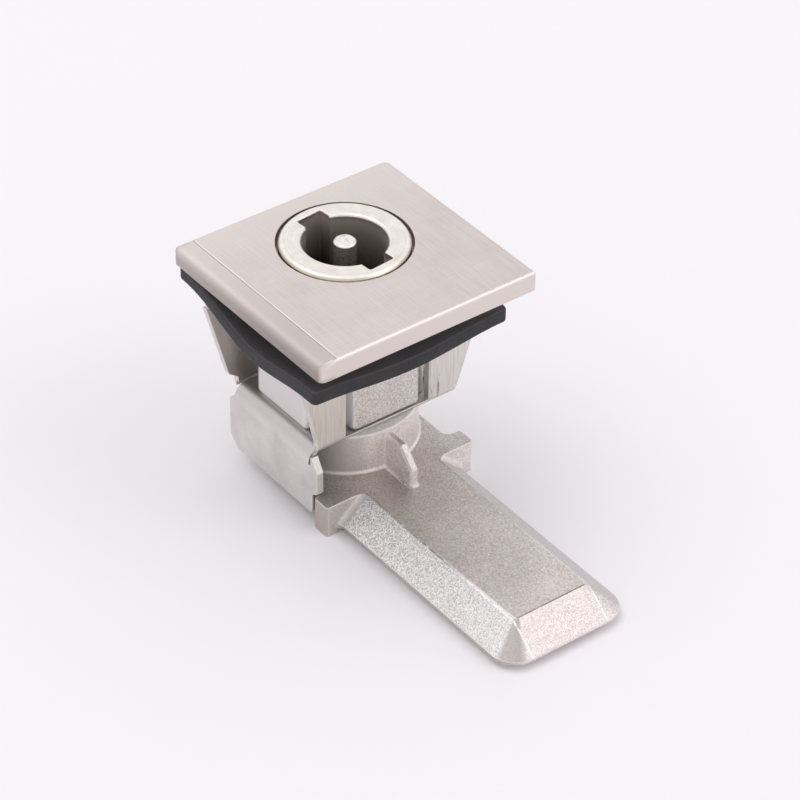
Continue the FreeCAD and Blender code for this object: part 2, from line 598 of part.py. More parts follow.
def makeDriver():
    body = newBody("driver")
    profile = sketchOn(body, "driverSection", "XZ_Plane")
    outline(profile, [("none", "ringTop"), ("rimTopRadius", "ringTop"),
                      ("driverFlangeRadius", "rimFoot"),
                      ("driverFlangeRadius", "flangeSeat"), ("driverBarrelRadius", "flangeSeat"),
                      ("driverBarrelRadius", "barrelEnd"), ("shankRadius", "barrelEnd"),
                      ("shankRadius", "sealGrooveTop"), ("sealGrooveRadius", "sealGrooveTop"),
                      ("sealGrooveRadius", "sealGrooveFoot"), ("shankRadius", "sealGrooveFoot"),
                      ("shankRadius", "hubTop"), ("none", "hubTop")])
    spin(body, "Revolution", "turned", profile)
    square = sketchOn(body, "square", "XY_Plane", height="hubTop")
    box(square, "-squareHalf", "squareHalf", "-squareHalf", "squareHalf")
    grow(body, "Pad", "padSquare", square, "squareLength", back=True)
    # key socket: a bore with two bit notches, and the hole that the centre pin is pressed into
    socket = sketchOn(body, "socket", "XY_Plane", height="ringTop")
    ringLine(socket, "socketRadius")
    grow(body, "Pocket", "socketPocket", socket, "socketDepth")
    dress(body, "Chamfer", "socketEdge", "socketChamfer",
          lambda edge: level(edge, "ringTop") and near(edge.BoundBox.XMax, "socketRadius"))
    notches = sketchOn(body, "notches", "XY_Plane", height="ringTop", turn="keyTurn")
    box(notches, "-notchHalfSpan", "notchHalfSpan", "-notchHalfWidth", "notchHalfWidth", "notchRound")
    grow(body, "Pocket", "notchPocket", notches, "socketDepth")
    pinHole = sketchOn(body, "pinHole", "XY_Plane", height="socketFloor")
    ringLine(pinHole, "pinRootRadius")
    grow(body, "Pocket", "pinHolePocket", pinHole, "pinRooted")
    screwHole = sketchOn(body, "screwHole", "XY_Plane", height="squareEnd")
    ringLine(screwHole, "screwBore")
    grow(body, "Pocket", "screwHolePocket", screwHole, "screwHoleDepth", back=True)
    return body


def makePin():
    body = newBody("driver_pin")
    profile = sketchOn(body, "pinSection", "XZ_Plane")
    outline(profile, [("none", "pinFoot"), ("pinRootRadius", "pinFoot"), ("pinRootRadius", "socketFloor"),
                      ("pinRadius", "socketFloor"), ("pinRadius", "pinShoulder"),
                      ("pinTopRadius", "pinTop"), ("none", "pinTop")])
    spin(body, "Revolution", "turned", profile)
    return body


def makeSeal():
    body = newBody("driver_seal")
    profile = sketchOn(body, "sealSection", "XZ_Plane")
    box(profile, "sealIn", "sealOut", "sealFoot", "sealTop")
    spin(body, "Revolution", "turned", profile)
    return body


def makeCam():
    body = newBody("cam")
    # round tail under the hub, then the plate with a lug on each side
    tail = sketchOn(body, "tail", "XY_Plane", height="plateTop")
    ringLine(tail, "hubRadius")
    grow(body, "Pad", "padTail", tail, "camThick", back=True)
    plate = sketchOn(body, "plate", "XY_Plane", height="plateTop")
    outline(plate, [("none", "-plateHalf"), ("lugBack", "-plateHalf", "lugInnerRound"),
                    ("lugBack", "-lugReach", "lugRound"), ("lugFront", "-lugReach", "lugRound"),
                    ("lugFront", "lugReach", "lugRound"), ("lugBack", "lugReach", "lugRound"),
                    ("lugBack", "plateHalf", "lugInnerRound"), ("none", "plateHalf")])
    grow(body, "Pad", "padPlate", plate, "camThick", back=True)
    # tongue: thinner than the plate, with a low upright edge, then bevels that rise to a narrower flat top
    edgeBand = sketchOn(body, "tongueOutline", "XY_Plane", height="tongueUnder")
    tongueOutline(edgeBand, "tongueHalf", "tongueHalf", "tongueTip", "tongueTipRound")
    grow(body, "Pad", "padEdge", edgeBand, "tongueEdge")
    low = sketchOn(body, "tongueLow", "XY_Plane", height="tongueFoot")
    tongueOutline(low, "tongueHalf", "tongueHalf", "tongueTip", "tongueTipRound")
    high = sketchOn(body, "tongueHigh", "XY_Plane", height="plateTop")
    tongueOutline(high, "tongueTopRoot", "tongueTopTip", "tongueTopEnd", "tongueTopRound")
    loft = body.newObject("PartDesign::AdditiveLoft", "tongueBevels")
    loft.Profile = low
    loft.Sections = [high]
    loft.Ruled = True
    doc.recompute()
    # hub and the rib that braces it
    hub = sketchOn(body, "hub", "XY_Plane", height="plateTop")
    ringLine(hub, "hubRadius")
    grow(body, "Pad", "padHub", hub, "hubHeight")
    rib = sketchOn(body, "rib", "XZ_Plane")
    outline(rib, [("ribRoot", "ribFoot"), ("ribFront", "ribFoot"), ("ribFront", "ribToeTop", "ribRound"),
                  ("ribFlatEnd", "ribTop", "ribRound"), ("ribRoot", "ribTop")])
    grow(body, "Pad", "padRib", rib, "ribThick", both=True)
    # the rib's edges are broken, and cast fillets lie where hub, rib and plate meet and beside the tongue
    dress(body, "Chamfer", "ribEdges", "ribEdge", onRibEdge)
    dress(body, "Fillet", "hubFillet", "hubFoot", atHubFoot)
    dress(body, "Fillet", "valleys", "valleyRound", inValley)
    # square for the driver, and underneath the recess that hides the screw head
    square = sketchOn(body, "squareHole", "XY_Plane", height="hubTop")
    box(square, "-squareHoleHalf", "squareHoleHalf", "-squareHoleHalf", "squareHoleHalf")
    grow(body, "Pocket", "squarePocket", square, "webThick")
    recess = sketchOn(body, "recess", "XY_Plane", height="camFloor")
    ringLine(recess, "recessRadius")
    grow(body, "Pocket", "recessPocket", recess, "recessDepth", back=True)
    return body


def atHubFoot(edge):
    # edges of the plate's top round hub and rib, and the rib's two corners with the hub
    box3 = edge.BoundBox
    side = max(box3.YMax, -box3.YMin)
    foot = level(edge, "plateTop") and box3.XMax < size("ribFront") + touch and side < size("hubRadius")
    corner = upright(edge) and near(side, "ribHalf") and box3.XMax < size("hubRadius")
    return corner or (foot and not near(abs(edge.CenterOfMass.y), "plateHalf"))


def inValley(edge):
    # edges where the tongue's bevel and its upright edge run into a lug's front face
    box3 = edge.BoundBox
    onLug = near(box3.XMin, "lugFront") and near(box3.XMax, "lugFront")
    return onLug and abs(edge.CenterOfMass.y) < size("tongueHalf") + touch and box3.ZLength > touch


def onRibEdge(edge):
    # side edges of the rib, from the hub along its top and down its front
    box3 = edge.BoundBox
    side = max(box3.YMax, -box3.YMin)
    above = box3.ZMax > size("plateTop") + touch and box3.XMax > size("hubRadius") + touch
    return above and near(side, "ribHalf") and box3.YLength < touch


def tongueOutline(sketch, rootHalf, tipHalf, tip, rounding):
    # from the plate to the tip, tapering a little, with rounded tip corners
    outline(sketch, [("tongueRoot", "-" + rootHalf), (tip, "-" + tipHalf, rounding),
                     (tip, tipHalf, rounding), ("tongueRoot", rootHalf)])


def makeScrew():
    body = newBody("cam_screw")
    profile = sketchOn(body, "screwSection", "XZ_Plane")
    outline(profile, [("none", "screwFoot"), ("screwFaceRadius", "screwFoot"),
                      ("screwHeadRadius", "screwRimFoot"),
                      ("screwHeadRadius", "springFoot"), ("screwRadius", "springFoot"),
                      ("screwRadius", "screwEnd"), ("none", "screwEnd")])
    spin(body, "Revolution", "turned", profile)
    socket = sketchOn(body, "hexagon", "XY_Plane", height="screwFoot")
    outline(socket, [("hexCorner", "none"), ("hexCornerHalf", "hexHalf"), ("-hexCornerHalf", "hexHalf"),
                     ("-hexCorner", "none"), ("-hexCornerHalf", "-hexHalf"), ("hexCornerHalf", "-hexHalf")])
    grow(body, "Pocket", "hexPocket", socket, "hexDepth", back=True)
    return body


def makeWasher():
    body = newBody("cam_washer")
    sketch = sketchOn(body, "washerOutline", "XY_Plane", height="washerFoot")
    ringLine(sketch, "washerRadius")
    ringLine(sketch, "washerBore")
    grow(body, "Pad", "padWasher", sketch, "washerThick")
    return body


def makeSpringWasher():
    body = newBody("cam_spring_washer")
    sketch = sketchOn(body, "springOutline", "XY_Plane", height="springFoot")
    ringLine(sketch, "springWasherRadius")
    ringLine(sketch, "washerBore")
    grow(body, "Pad", "padSpring", sketch, "springWasherThick")
    slit = sketchOn(body, "slit", "XY_Plane", height="washerFoot")
    box(slit, "none", "slitOut", "-slitHalf", "slitHalf")
    grow(body, "Pocket", "slitPocket", slit, "springWasherThick")
    return body


makers = [makeHousing, makeGasket, makeClip, makeDriver, makePin, makeSeal, makeCam, makeScrew,
          makeWasher, makeSpringWasher]
nodes = [maker() for maker in makers]
doc.recompute()

for item in doc.Objects:
    faults = [state for state in item.State if state in ("Invalid", "Error")]
    if faults:
        raise RuntimeError(f"{item.Label}: {faults}")
for node in nodes:
    if node.Shape.isNull() or not node.Shape.isValid():
        raise RuntimeError(f"{node.Label}: its shape is not valid")

os.makedirs("parts", exist_ok=True)
for node in nodes:
    node.Shape.exportStep(f"parts/{node.Label}.step")
    solids = len(node.Shape.Solids)
    print(f"{node.Label}: {solids} solid, {node.Shape.Volume:.1f} mm3, {node.Shape.BoundBox}")
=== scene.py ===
import bpy
import math
import numpy as np
from mathutils import Matrix, Vector


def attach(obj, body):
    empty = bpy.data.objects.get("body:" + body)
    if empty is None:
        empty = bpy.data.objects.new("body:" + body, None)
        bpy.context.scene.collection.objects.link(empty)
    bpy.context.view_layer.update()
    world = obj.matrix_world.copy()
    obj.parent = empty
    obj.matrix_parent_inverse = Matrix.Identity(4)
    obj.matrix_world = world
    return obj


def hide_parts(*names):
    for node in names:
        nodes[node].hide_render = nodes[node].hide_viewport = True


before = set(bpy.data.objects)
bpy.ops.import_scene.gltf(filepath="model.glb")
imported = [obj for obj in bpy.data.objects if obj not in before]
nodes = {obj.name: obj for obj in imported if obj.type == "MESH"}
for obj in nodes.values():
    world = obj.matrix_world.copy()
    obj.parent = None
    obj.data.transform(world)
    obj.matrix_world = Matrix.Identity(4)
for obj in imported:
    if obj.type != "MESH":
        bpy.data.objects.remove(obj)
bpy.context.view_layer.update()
mm = 0.001
print("frame loaded:", len(nodes), "nodes")


def toLinear(code):
    # sRGB hex value, such as "#c8c0b8", to a linear colour with alpha 1
    parts = [int(code[i:i + 2], 16) / 255 for i in (1, 3, 5)]
    return [p / 12.92 if p <= 0.04045 else ((p + 0.055) / 1.055) ** 2.4 for p in parts] + [1.0]


def addNode(tree, kind, links=None, **settings):
    # Adds one shader node and gives back its outputs. links holds a value, a hex colour or another node's
    # output for each socket, settings the node's own properties
    made = tree.nodes.new("ShaderNode" + kind)
    for name, value in settings.items():
        setattr(made, name, value)
    for name, value in (links or {}).items():
        if isinstance(value, bpy.types.NodeSocket):
            tree.links.new(value, made.inputs[name])
        else:
            made.inputs[name].default_value = toLinear(value) if isinstance(value, str) else value
    return made.outputs


def newMaterial(name):
    material = bpy.data.materials.new(name)
    material.use_nodes = True
    material.node_tree.nodes.clear()
    return material, material.node_tree


# camera: where the photograph was taken from, worked out from the head's edges and the cam
view = {
    "azimuth": 52.375, "elevation": 37.727, "roll": 0.858,    # degrees
    "focal": 3378.8,                                         # in pixels of an 800 pixel wide image
    "side": 800,
    "aim": (0, 0, 2.8),                                      # mm: the lock axis at the head's top
    "aimPixel": (344.875, 241.404),                          # where that point lies in the image
    "distance": 432.93,                                      # mm
    "sensor": 36,                                            # mm
    "clip": (0.01, 20),                                      # m: the nearest and farthest that it sees
}


def makeCamera():
    s = view
    data = bpy.data.cameras.new("camera")
    data.sensor_width = s["sensor"]
    data.lens = s["focal"] / s["side"] * s["sensor"]
    data.clip_start, data.clip_end = s["clip"]
    a, e, r = (math.radians(s[name]) for name in ("azimuth", "elevation", "roll"))
    back = Vector((math.sin(a) * math.cos(e), -math.cos(a) * math.cos(e), math.sin(e)))
    level = Vector((math.cos(a), math.sin(a), 0))
    lift = back.cross(level)
    right = math.cos(r) * level + math.sin(r) * lift
    up = math.cos(r) * lift - math.sin(r) * level
    scale = s["distance"] / s["focal"]
    across = (s["aimPixel"][0] - s["side"] / 2) * scale
    above = (s["side"] / 2 - s["aimPixel"][1]) * scale
    place = Vector(s["aim"]) - across * right - above * up + s["distance"] * back
    camera = bpy.data.objects.new("camera", data)
    bpy.context.scene.collection.objects.link(camera)
    turn = Matrix((right, up, back)).transposed().to_4x4()
    camera.matrix_world = Matrix.Translation(place * mm) @ turn
    bpy.context.scene.camera = camera


makeCamera()
print("camera ready")

# stage: pale table, white room and soft lamps
stage = {
    "floorHeight": -32.30,         # mm: a hair below the cam's hub, which stands on it
    "floorSize": 3.0,              # m
    "floorColour": "#f4f2f3",
    "seenColour": "#f8f6fb",       # the white room as the camera and the metal see it
    "roomColour": "#f4f2f6",       # its light on matt surfaces
    "roomLevel": 0.84, "roomOver": 0.05,        # how strong that light is, and how much more comes from above
}
lamps = [
    # name, place in m, size in m, power in W: each looks at the lock
    ("lampOver", (-0.45, -0.30, 1.40), 1.18, 5.7),
    ("lampRight", (1.05, 0.80, 1.10), 1.0, 3.7),
]


def makeFloor():
    s = stage
    bpy.ops.mesh.primitive_plane_add(size=s["floorSize"])
    floor = bpy.context.object
    floor.name = "floor"
    floor.data.transform(Matrix.Translation((0, 0, s["floorHeight"] * mm)))
    material, tree = newMaterial("paleMattTable")
    matt = addNode(tree, "BsdfDiffuse", {"Color": s["floorColour"]})
    # seen from below, the table is left out, so that the underside can be looked at
    clear = addNode(tree, "BsdfTransparent")
    path = addNode(tree, "LightPath")
    side = addNode(tree, "NewGeometry")
    below = addNode(tree, "Math", {0: path["Is Camera Ray"], 1: side["Backfacing"]}, operation="MULTIPLY")
    surface = addNode(tree, "MixShader", {0: below[0], 1: matt[0], 2: clear[0]})
    addNode(tree, "OutputMaterial", {"Surface": surface[0]})
    floor.data.materials.append(material)


def makeRoom():
    # an even white room, whose light on matt surfaces is a little stronger overhead
    s = stage
    world = bpy.data.worlds.new("whiteRoom")
    bpy.context.scene.world = world
    world.use_nodes = True
    tree = world.node_tree
    tree.nodes.clear()
    place = addNode(tree, "TexCoord")
    lean = addNode(tree, "VectorMath", {0: place["Generated"], 1: (0, 0, s["roomOver"])}, operation="DOT_PRODUCT")
    level = addNode(tree, "Math", {0: lean["Value"], 1: s["roomLevel"]}, operation="ADD")
    room = addNode(tree, "Background", {"Color": s["roomColour"], "Strength": level[0]})
    seen = addNode(tree, "Background", {"Color": s["seenColour"], "Strength": 1.0})
    path = addNode(tree, "LightPath")
    mirrored = addNode(tree, "Math", {0: path["Is Glossy Ray"], 1: path["Is Transmission Ray"]},
                       operation="MAXIMUM")
    shown = addNode(tree, "Math", {0: path["Is Camera Ray"], 1: mirrored[0]}, operation="MAXIMUM")
    mix = addNode(tree, "MixShader", {0: shown[0], 1: room[0], 2: seen[0]})
    addNode(tree, "OutputWorld", {"Surface": mix[0]})


def makeLamps():
    for name, place, size, power in lamps:
        data = bpy.data.lights.new(name, "AREA")
        data.shape = "SQUARE"
        data.size = size
        data.energy = power
        lamp = bpy.data.objects.new(name, data)
        bpy.context.scene.collection.objects.link(lamp)
        lamp.location = place
        lamp.rotation_mode = "QUATERNION"
        lamp.rotation_quaternion = (-Vector(place)).to_track_quat("-Z", "Y")


makeFloor()
makeRoom()
makeLamps()
bpy.context.scene.view_settings.view_transform = "Standard"
print("stage ready")


# patterns that the finishes share: places are in mm, on Object coordinates

def placeInMm(tree):
    place = addNode(tree, "TexCoord")
    whole = addNode(tree, "VectorMath", {0: place["Object"], "Scale": 1 / mm}, operation="SCALE")
    return whole[0], addNode(tree, "SeparateXYZ", {0: whole[0]})


def grainOf(tree, place, spacing, stretch=(1, 1, 1), detail=2.0, rough=0.5):
    # Uneven grain about spacing mm from light to light; a stretch of 0.1 along an axis draws it out tenfold
    spread = addNode(tree, "Mapping", {"Vector": place, "Scale": stretch})
    noise = addNode(tree, "TexNoise", {"Vector": spread[0], "Scale": 1 / spacing, "Detail": detail,
                                       "Roughness": rough})
    return noise["Fac"]


def cellsOf(tree, place, spacing):
    # Sharp cells about spacing mm apart, each with a brightness of its own
    cells = addNode(tree, "TexVoronoi", {"Vector": place, "Scale": 1 / spacing})
    return addNode(tree, "Math", {0: cells["Color"], 1: 1.0}, operation="MULTIPLY")[0]


def lineAt(tree, value, centre, width):
    # Mask of a line at centre: width holds how far off, in mm, it has faded out and how far off it is still full
    off = addNode(tree, "Math", {0: value, 1: centre}, operation="SUBTRACT")
    off = addNode(tree, "Math", {0: off[0]}, operation="ABSOLUTE")
    return addNode(tree, "MapRange", {"Value": off[0], "From Min": width[0], "From Max": width[1]})[0]


def roundedEdges(tree, reach):
    # Normal that rounds edges over reach in m, and a mask of the edges: from 6 degrees (cosine 0.995) off the
    # face's own normal, full at 26 degrees (0.90)
    soft = addNode(tree, "Bevel", {"Radius": reach}, samples=4)
    own = addNode(tree, "NewGeometry")
    dot = addNode(tree, "VectorMath", {0: soft[0], 1: own["Normal"]}, operation="DOT_PRODUCT")
    mask = addNode(tree, "MapRange", {"Value": dot["Value"], "From Min": 0.995, "From Max": 0.90})
    return soft[0], mask[0]


def steelSkin(tree, colour, roughness, reliefs, normal, metal=1.0):
    # Steel with its reliefs as (height, depth in mm), from the coarsest to the finest, on a rounded normal
    for height, depth in reliefs:
        normal = addNode(tree, "Bump", {"Height": height, "Distance": depth * mm, "Normal": normal})[0]
    skin = addNode(tree, "BsdfPrincipled", {"Base Color": colour, "Metallic": metal, "Roughness": roughness,
                                            "Normal": normal})
    addNode(tree, "OutputMaterial", {"Surface": skin[0]})


# finishes, one for each material of the lock. In their settings a grain is what grainOf takes after the place:
# spacing in mm, stretch, detail and roughness. A range has the ends of what is measured (From) and what they
# give (To, 0 and 1 if not said): along an axis in mm, of the way a face points, or of a grain

castSatin = {
    "face": "#dfd7d1", "faceDark": "#d0c8c2", "faceBackPaintedLight": "#e8e0da",
    "strip": "#d5cdc8", "stripLowShade": "#a49b97", "side": "#e2d9d4",
    "blasted": "#f1ece7", "blastedDark": "#c9c2bc", "smooth": "#e3e0e0",
    "wearHighlightColour": "#f6f1ea", "creaseShadowColour": "#a79e97",
    "hairs": (0.11, (0.05, 1, 1), 2.0, 0.6), "streaks": (0.35, (0.03, 1, 1)), "crossHairs": (0.24, (1, 0.06, 1)),
    "cloud": (7.0, (1, 1, 1), 3.0), "dashes": (0.7, (1, 1, 1), 2.0), "cellGap": 0.13,
    # mm: the crease between face and strip, and the burrs with painted highlight and shadow lines on it and on
    # the front edge
    "crease": -15.5, "creaseHalf": 0.04, "frontEdge": 19.42,
    "burrOff": 0.06, "creaseShadowOff": -0.09, "burrWidth": (0.09, 0.03),
    "edge": 0.14, "stripEdge": 1.1, "brushDepth": 0.004, "pitDepth": 0.025,                       # mm
    "headUp": {"From Min": -0.10, "From Max": -0.02},
    "rear": {"From Min": 3.0, "From Max": -13.0, "To Max": 0.6},
    "stripDown": {"From Min": 2.55, "From Max": 1.3, "To Max": 0.55},
    "stripAlong": {"From Min": -10.0, "From Max": 12.0, "To Max": 0.38},
    "shoulder": {"From Min": -15.9, "From Max": -16.3},
    "topFacing": {"From Min": 0.80, "From Max": 0.95},
    "stripFacing": {"From Min": 0.85, "From Max": 0.45},
    "grainFacing": {"From Min": 0.5, "From Max": 0.9, "To Min": 0.15},
    "faceTone": {"From Min": 1.25, "From Max": 2.15},
    "dashTone": {"From Min": 0.42, "From Max": 0.56},
    "cellTone": {"From Min": 0.25, "From Max": 0.70},
    "faceRough": {"From Min": 0.8, "From Max": 2.0, "To Min": 0.42, "To Max": 0.32},
    "cellRough": {"From Min": 0.3, "From Max": 0.7, "To Min": 0.36, "To Max": 0.52},
    "wearHighlight": {"To Min": 0.5, "To Max": 0.05},                         # painted highlight and wear of the edges: below the head, and on it
    "crossShare": 0.45, "marksOffFace": 0.1, "stripRougher": 0.12, "burrHeight": 3.0,
}


def makeCastSatin():
    # Investment-cast stainless steel, brushed along the cam on the front and shot-blasted below the head:
    # fine hairlines that soften the light on the face, painted light towards the back of the face, a smooth satin
    # strip past a burred crease with painted highlight and shadow lines, greyed by painted shade, sparkling grain
    # on the bosses, and edges brightened by wear and painted highlight
    s = castSatin
    material, tree = newMaterial("castStainlessBrushedFront")
    place, at = placeInMm(tree)
    facing = addNode(tree, "SeparateXYZ", {0: addNode(tree, "NewGeometry")["Normal"]})
    across = addNode(tree, "Math", {0: facing["X"]}, operation="ABSOLUTE")
    head = addNode(tree, "MapRange", {"Value": at["Z"], **s["headUp"]})[0]
    top = addNode(tree, "MapRange", {"Value": facing["Z"], **s["topFacing"]})[0]
    strip = addNode(tree, "MapRange", {"Value": at["Y"], "From Min": s["crease"] + s["creaseHalf"],
                                       "From Max": s["crease"] - s["creaseHalf"]})[0]
    # brushing: two widths of hairline along the cam and a faint one across it, hardly any on strip and sides
    hairs = grainOf(tree, place, *s["hairs"])
    streaks = grainOf(tree, place, *s["streaks"])
    cross = grainOf(tree, place, *s["crossHairs"])
    marks = addNode(tree, "Math", {0: hairs, 1: streaks}, operation="ADD")
    marks = addNode(tree, "Math", {0: cross, 1: s["crossShare"], 2: marks[0]}, operation="MULTIPLY_ADD")
    brushed = addNode(tree, "Math", {0: 1.0, 1: strip}, operation="SUBTRACT")
    brushed = addNode(tree, "Math", {0: brushed[0], 1: top}, operation="MULTIPLY")
    brushed = addNode(tree, "Math", {0: brushed[0], 1: 1 - s["marksOffFace"], 2: s["marksOffFace"]},
                      operation="MULTIPLY_ADD")
    lined = addNode(tree, "Math", {0: marks[0], 1: brushed[0]}, operation="MULTIPLY")
    cloud = grainOf(tree, place, *s["cloud"])
    tone = addNode(tree, "Math", {0: lined[0], 1: cloud}, operation="ADD")
    tone = addNode(tree, "MapRange", {"Value": tone[0], **s["faceTone"]})
    face = addNode(tree, "Mix", {0: tone[0], 6: s["faceDark"], 7: s["face"]}, data_type="RGBA")
    # painted light: the face lightens towards the back
    rear = addNode(tree, "MapRange", {"Value": at["X"], **s["rear"]})
    face = addNode(tree, "Mix", {0: rear[0], 6: face[2], 7: s["faceBackPaintedLight"]}, data_type="RGBA")
    face = addNode(tree, "Mix", {0: top, 6: s["side"], 7: face[2]}, data_type="RGBA")
    # painted shade: the strip is darker than the face and greys towards its lower edge, more at the cam's end
    low = addNode(tree, "MapRange", {"Value": at["Z"], **s["stripDown"]})
    along = addNode(tree, "MapRange", {"Value": at["X"], **s["stripAlong"]})
    low = addNode(tree, "Math", {0: low[0], 1: along[0]}, operation="ADD")
    stripTone = addNode(tree, "Mix", {0: low[0], 6: s["strip"], 7: s["stripLowShade"]}, data_type="RGBA")
    ahead = addNode(tree, "MapRange", {"Value": across[0], **s["stripFacing"]})
    onStrip = addNode(tree, "Math", {0: strip, 1: ahead[0]}, operation="MULTIPLY")
    face = addNode(tree, "Mix", {0: onStrip[0], 6: face[2], 7: stripTone[2]}, data_type="RGBA")
    # burrs left by the brushing, drawn as a painted highlight line with a painted shadow line beside it on the
    # crease, and painted highlight dashes on the front edge
    lit = lineAt(tree, at["Y"], s["crease"] + s["burrOff"], s["burrWidth"])
    shade = lineAt(tree, at["Y"], s["crease"] + s["creaseShadowOff"], s["burrWidth"])
    dashes = addNode(tree, "MapRange", {"Value": grainOf(tree, place, *s["dashes"]), **s["dashTone"]})
    front = lineAt(tree, at["X"], s["frontEdge"], s["burrWidth"])
    front = addNode(tree, "Math", {0: front, 1: dashes[0]}, operation="MULTIPLY")
    burrAndHighlight = addNode(tree, "Math", {0: lit, 1: front[0]}, operation="MAXIMUM")
    burrAndHighlight = addNode(tree, "Math", {0: burrAndHighlight[0], 1: top}, operation="MULTIPLY")
    shade = addNode(tree, "Math", {0: shade, 1: top}, operation="MULTIPLY")
    face = addNode(tree, "Mix", {0: shade[0], 6: face[2], 7: s["creaseShadowColour"]}, data_type="RGBA")
    face = addNode(tree, "Mix", {0: burrAndHighlight[0], 6: face[2], 7: s["wearHighlightColour"]}, data_type="RGBA")
    # blasted body: sparkling grain on the faces across the cam, nearly smooth on the others
    cells = cellsOf(tree, place, s["cellGap"])
    coarse = addNode(tree, "MapRange", {"Value": across[0], **s["grainFacing"]})
    spots = addNode(tree, "MapRange", {"Value": cells, **s["cellTone"]})
    cast = addNode(tree, "Mix", {0: spots[0], 6: s["blastedDark"], 7: s["blasted"]}, data_type="RGBA")
    cast = addNode(tree, "Mix", {0: coarse[0], 6: s["smooth"], 7: cast[2]}, data_type="RGBA")
    colour = addNode(tree, "Mix", {0: head, 6: cast[2], 7: face[2]}, data_type="RGBA")
    # the strip's shoulder is rounded wide, without the painted highlight and wear of the other edges
    reach = addNode(tree, "MapRange", {"Value": at["Y"], **s["shoulder"], "To Min": s["edge"] * mm,
                                       "To Max": s["stripEdge"] * mm})
    soft, edge = roundedEdges(tree, reach[0])
    # edges lighten towards the edge colour: partly wear, partly painted highlight
    wearHighlight = addNode(tree, "MapRange", {"Value": head, **s["wearHighlight"]})
    offStrip = addNode(tree, "Math", {0: 1.0, 1: onStrip[0]}, operation="SUBTRACT")
    wearHighlight = addNode(tree, "Math", {0: wearHighlight[0], 1: offStrip[0]}, operation="MULTIPLY")
    brightened = addNode(tree, "Math", {0: edge, 1: wearHighlight[0]}, operation="MULTIPLY")
    colour = addNode(tree, "Mix", {0: brightened[0], 6: colour[2], 7: s["wearHighlightColour"]}, data_type="RGBA")
    satin = addNode(tree, "MapRange", {"Value": lined[0], **s["faceRough"]})
    satin = addNode(tree, "Math", {0: onStrip[0], 1: s["stripRougher"], 2: satin[0]}, operation="MULTIPLY_ADD")
    rough = addNode(tree, "MapRange", {"Value": cells, **s["cellRough"]})
    rough = addNode(tree, "Mix", {0: head, 2: rough[0], 3: satin[0]})
    scored = addNode(tree, "Math", {0: lined[0], 1: head}, operation="MULTIPLY")
    scored = addNode(tree, "Math", {0: burrAndHighlight[0], 1: s["burrHeight"], 2: scored[0]}, operation="MULTIPLY_ADD")
    below = addNode(tree, "Math", {0: 1.0, 1: head}, operation="SUBTRACT")
    pits = addNode(tree, "Math", {0: cells, 1: coarse[0]}, operation="MULTIPLY")
    pits = addNode(tree, "Math", {0: pits[0], 1: below[0]}, operation="MULTIPLY")
    steelSkin(tree, colour[2], rough[0], [(scored[0], s["brushDepth"]), (pits[0], s["pitDepth"])], soft)
    return material


springSheet = {
    "pale": "#e6e2e0", "dark": "#d3cecb", "bend": "#ccc6c3", "leaf": "#e3dfd9", "leafDark": "#c2bdb7",
    "scratch": "#9d958e", "leafBehindShade": "#a8a09b", "wearHighlightColour": "#f6f2ee",
    "draw": (0.26, (1, 1, 0.05), 3.0, 0.65), "scratches": (0.8, (1, 1, 0.07), 4.0, 0.75),
    "smudges": (4.0, (1, 1, 1), 4.0, 0.6), "skin": (0.25, (1, 1, 1), 2.0),
    "edge": 0.18, "drawDepth": 0.015, "skinDepth": 0.005,            # mm
    "behind": {"From Min": -4.0, "From Max": -9.0, "To Max": 0.75},
    "leafFacing": {"From Min": 0.6, "From Max": 0.9},
    "bendFacing": {"From Min": 0.15, "From Max": 0.6},
    "drawTone": {"From Min": 0.36, "From Max": 0.60},
    "scratchTone": {"From Min": 0.39, "From Max": 0.33},
    "wallTone": {"From Min": 0.40, "From Max": 0.75},
    "rough": {"From Min": 0.3, "From Max": 0.7, "To Min": 0.32, "To Max": 0.46},
    "leafEven": 0.55, "skinShare": 0.2, "wearHighlight": 0.7,
}


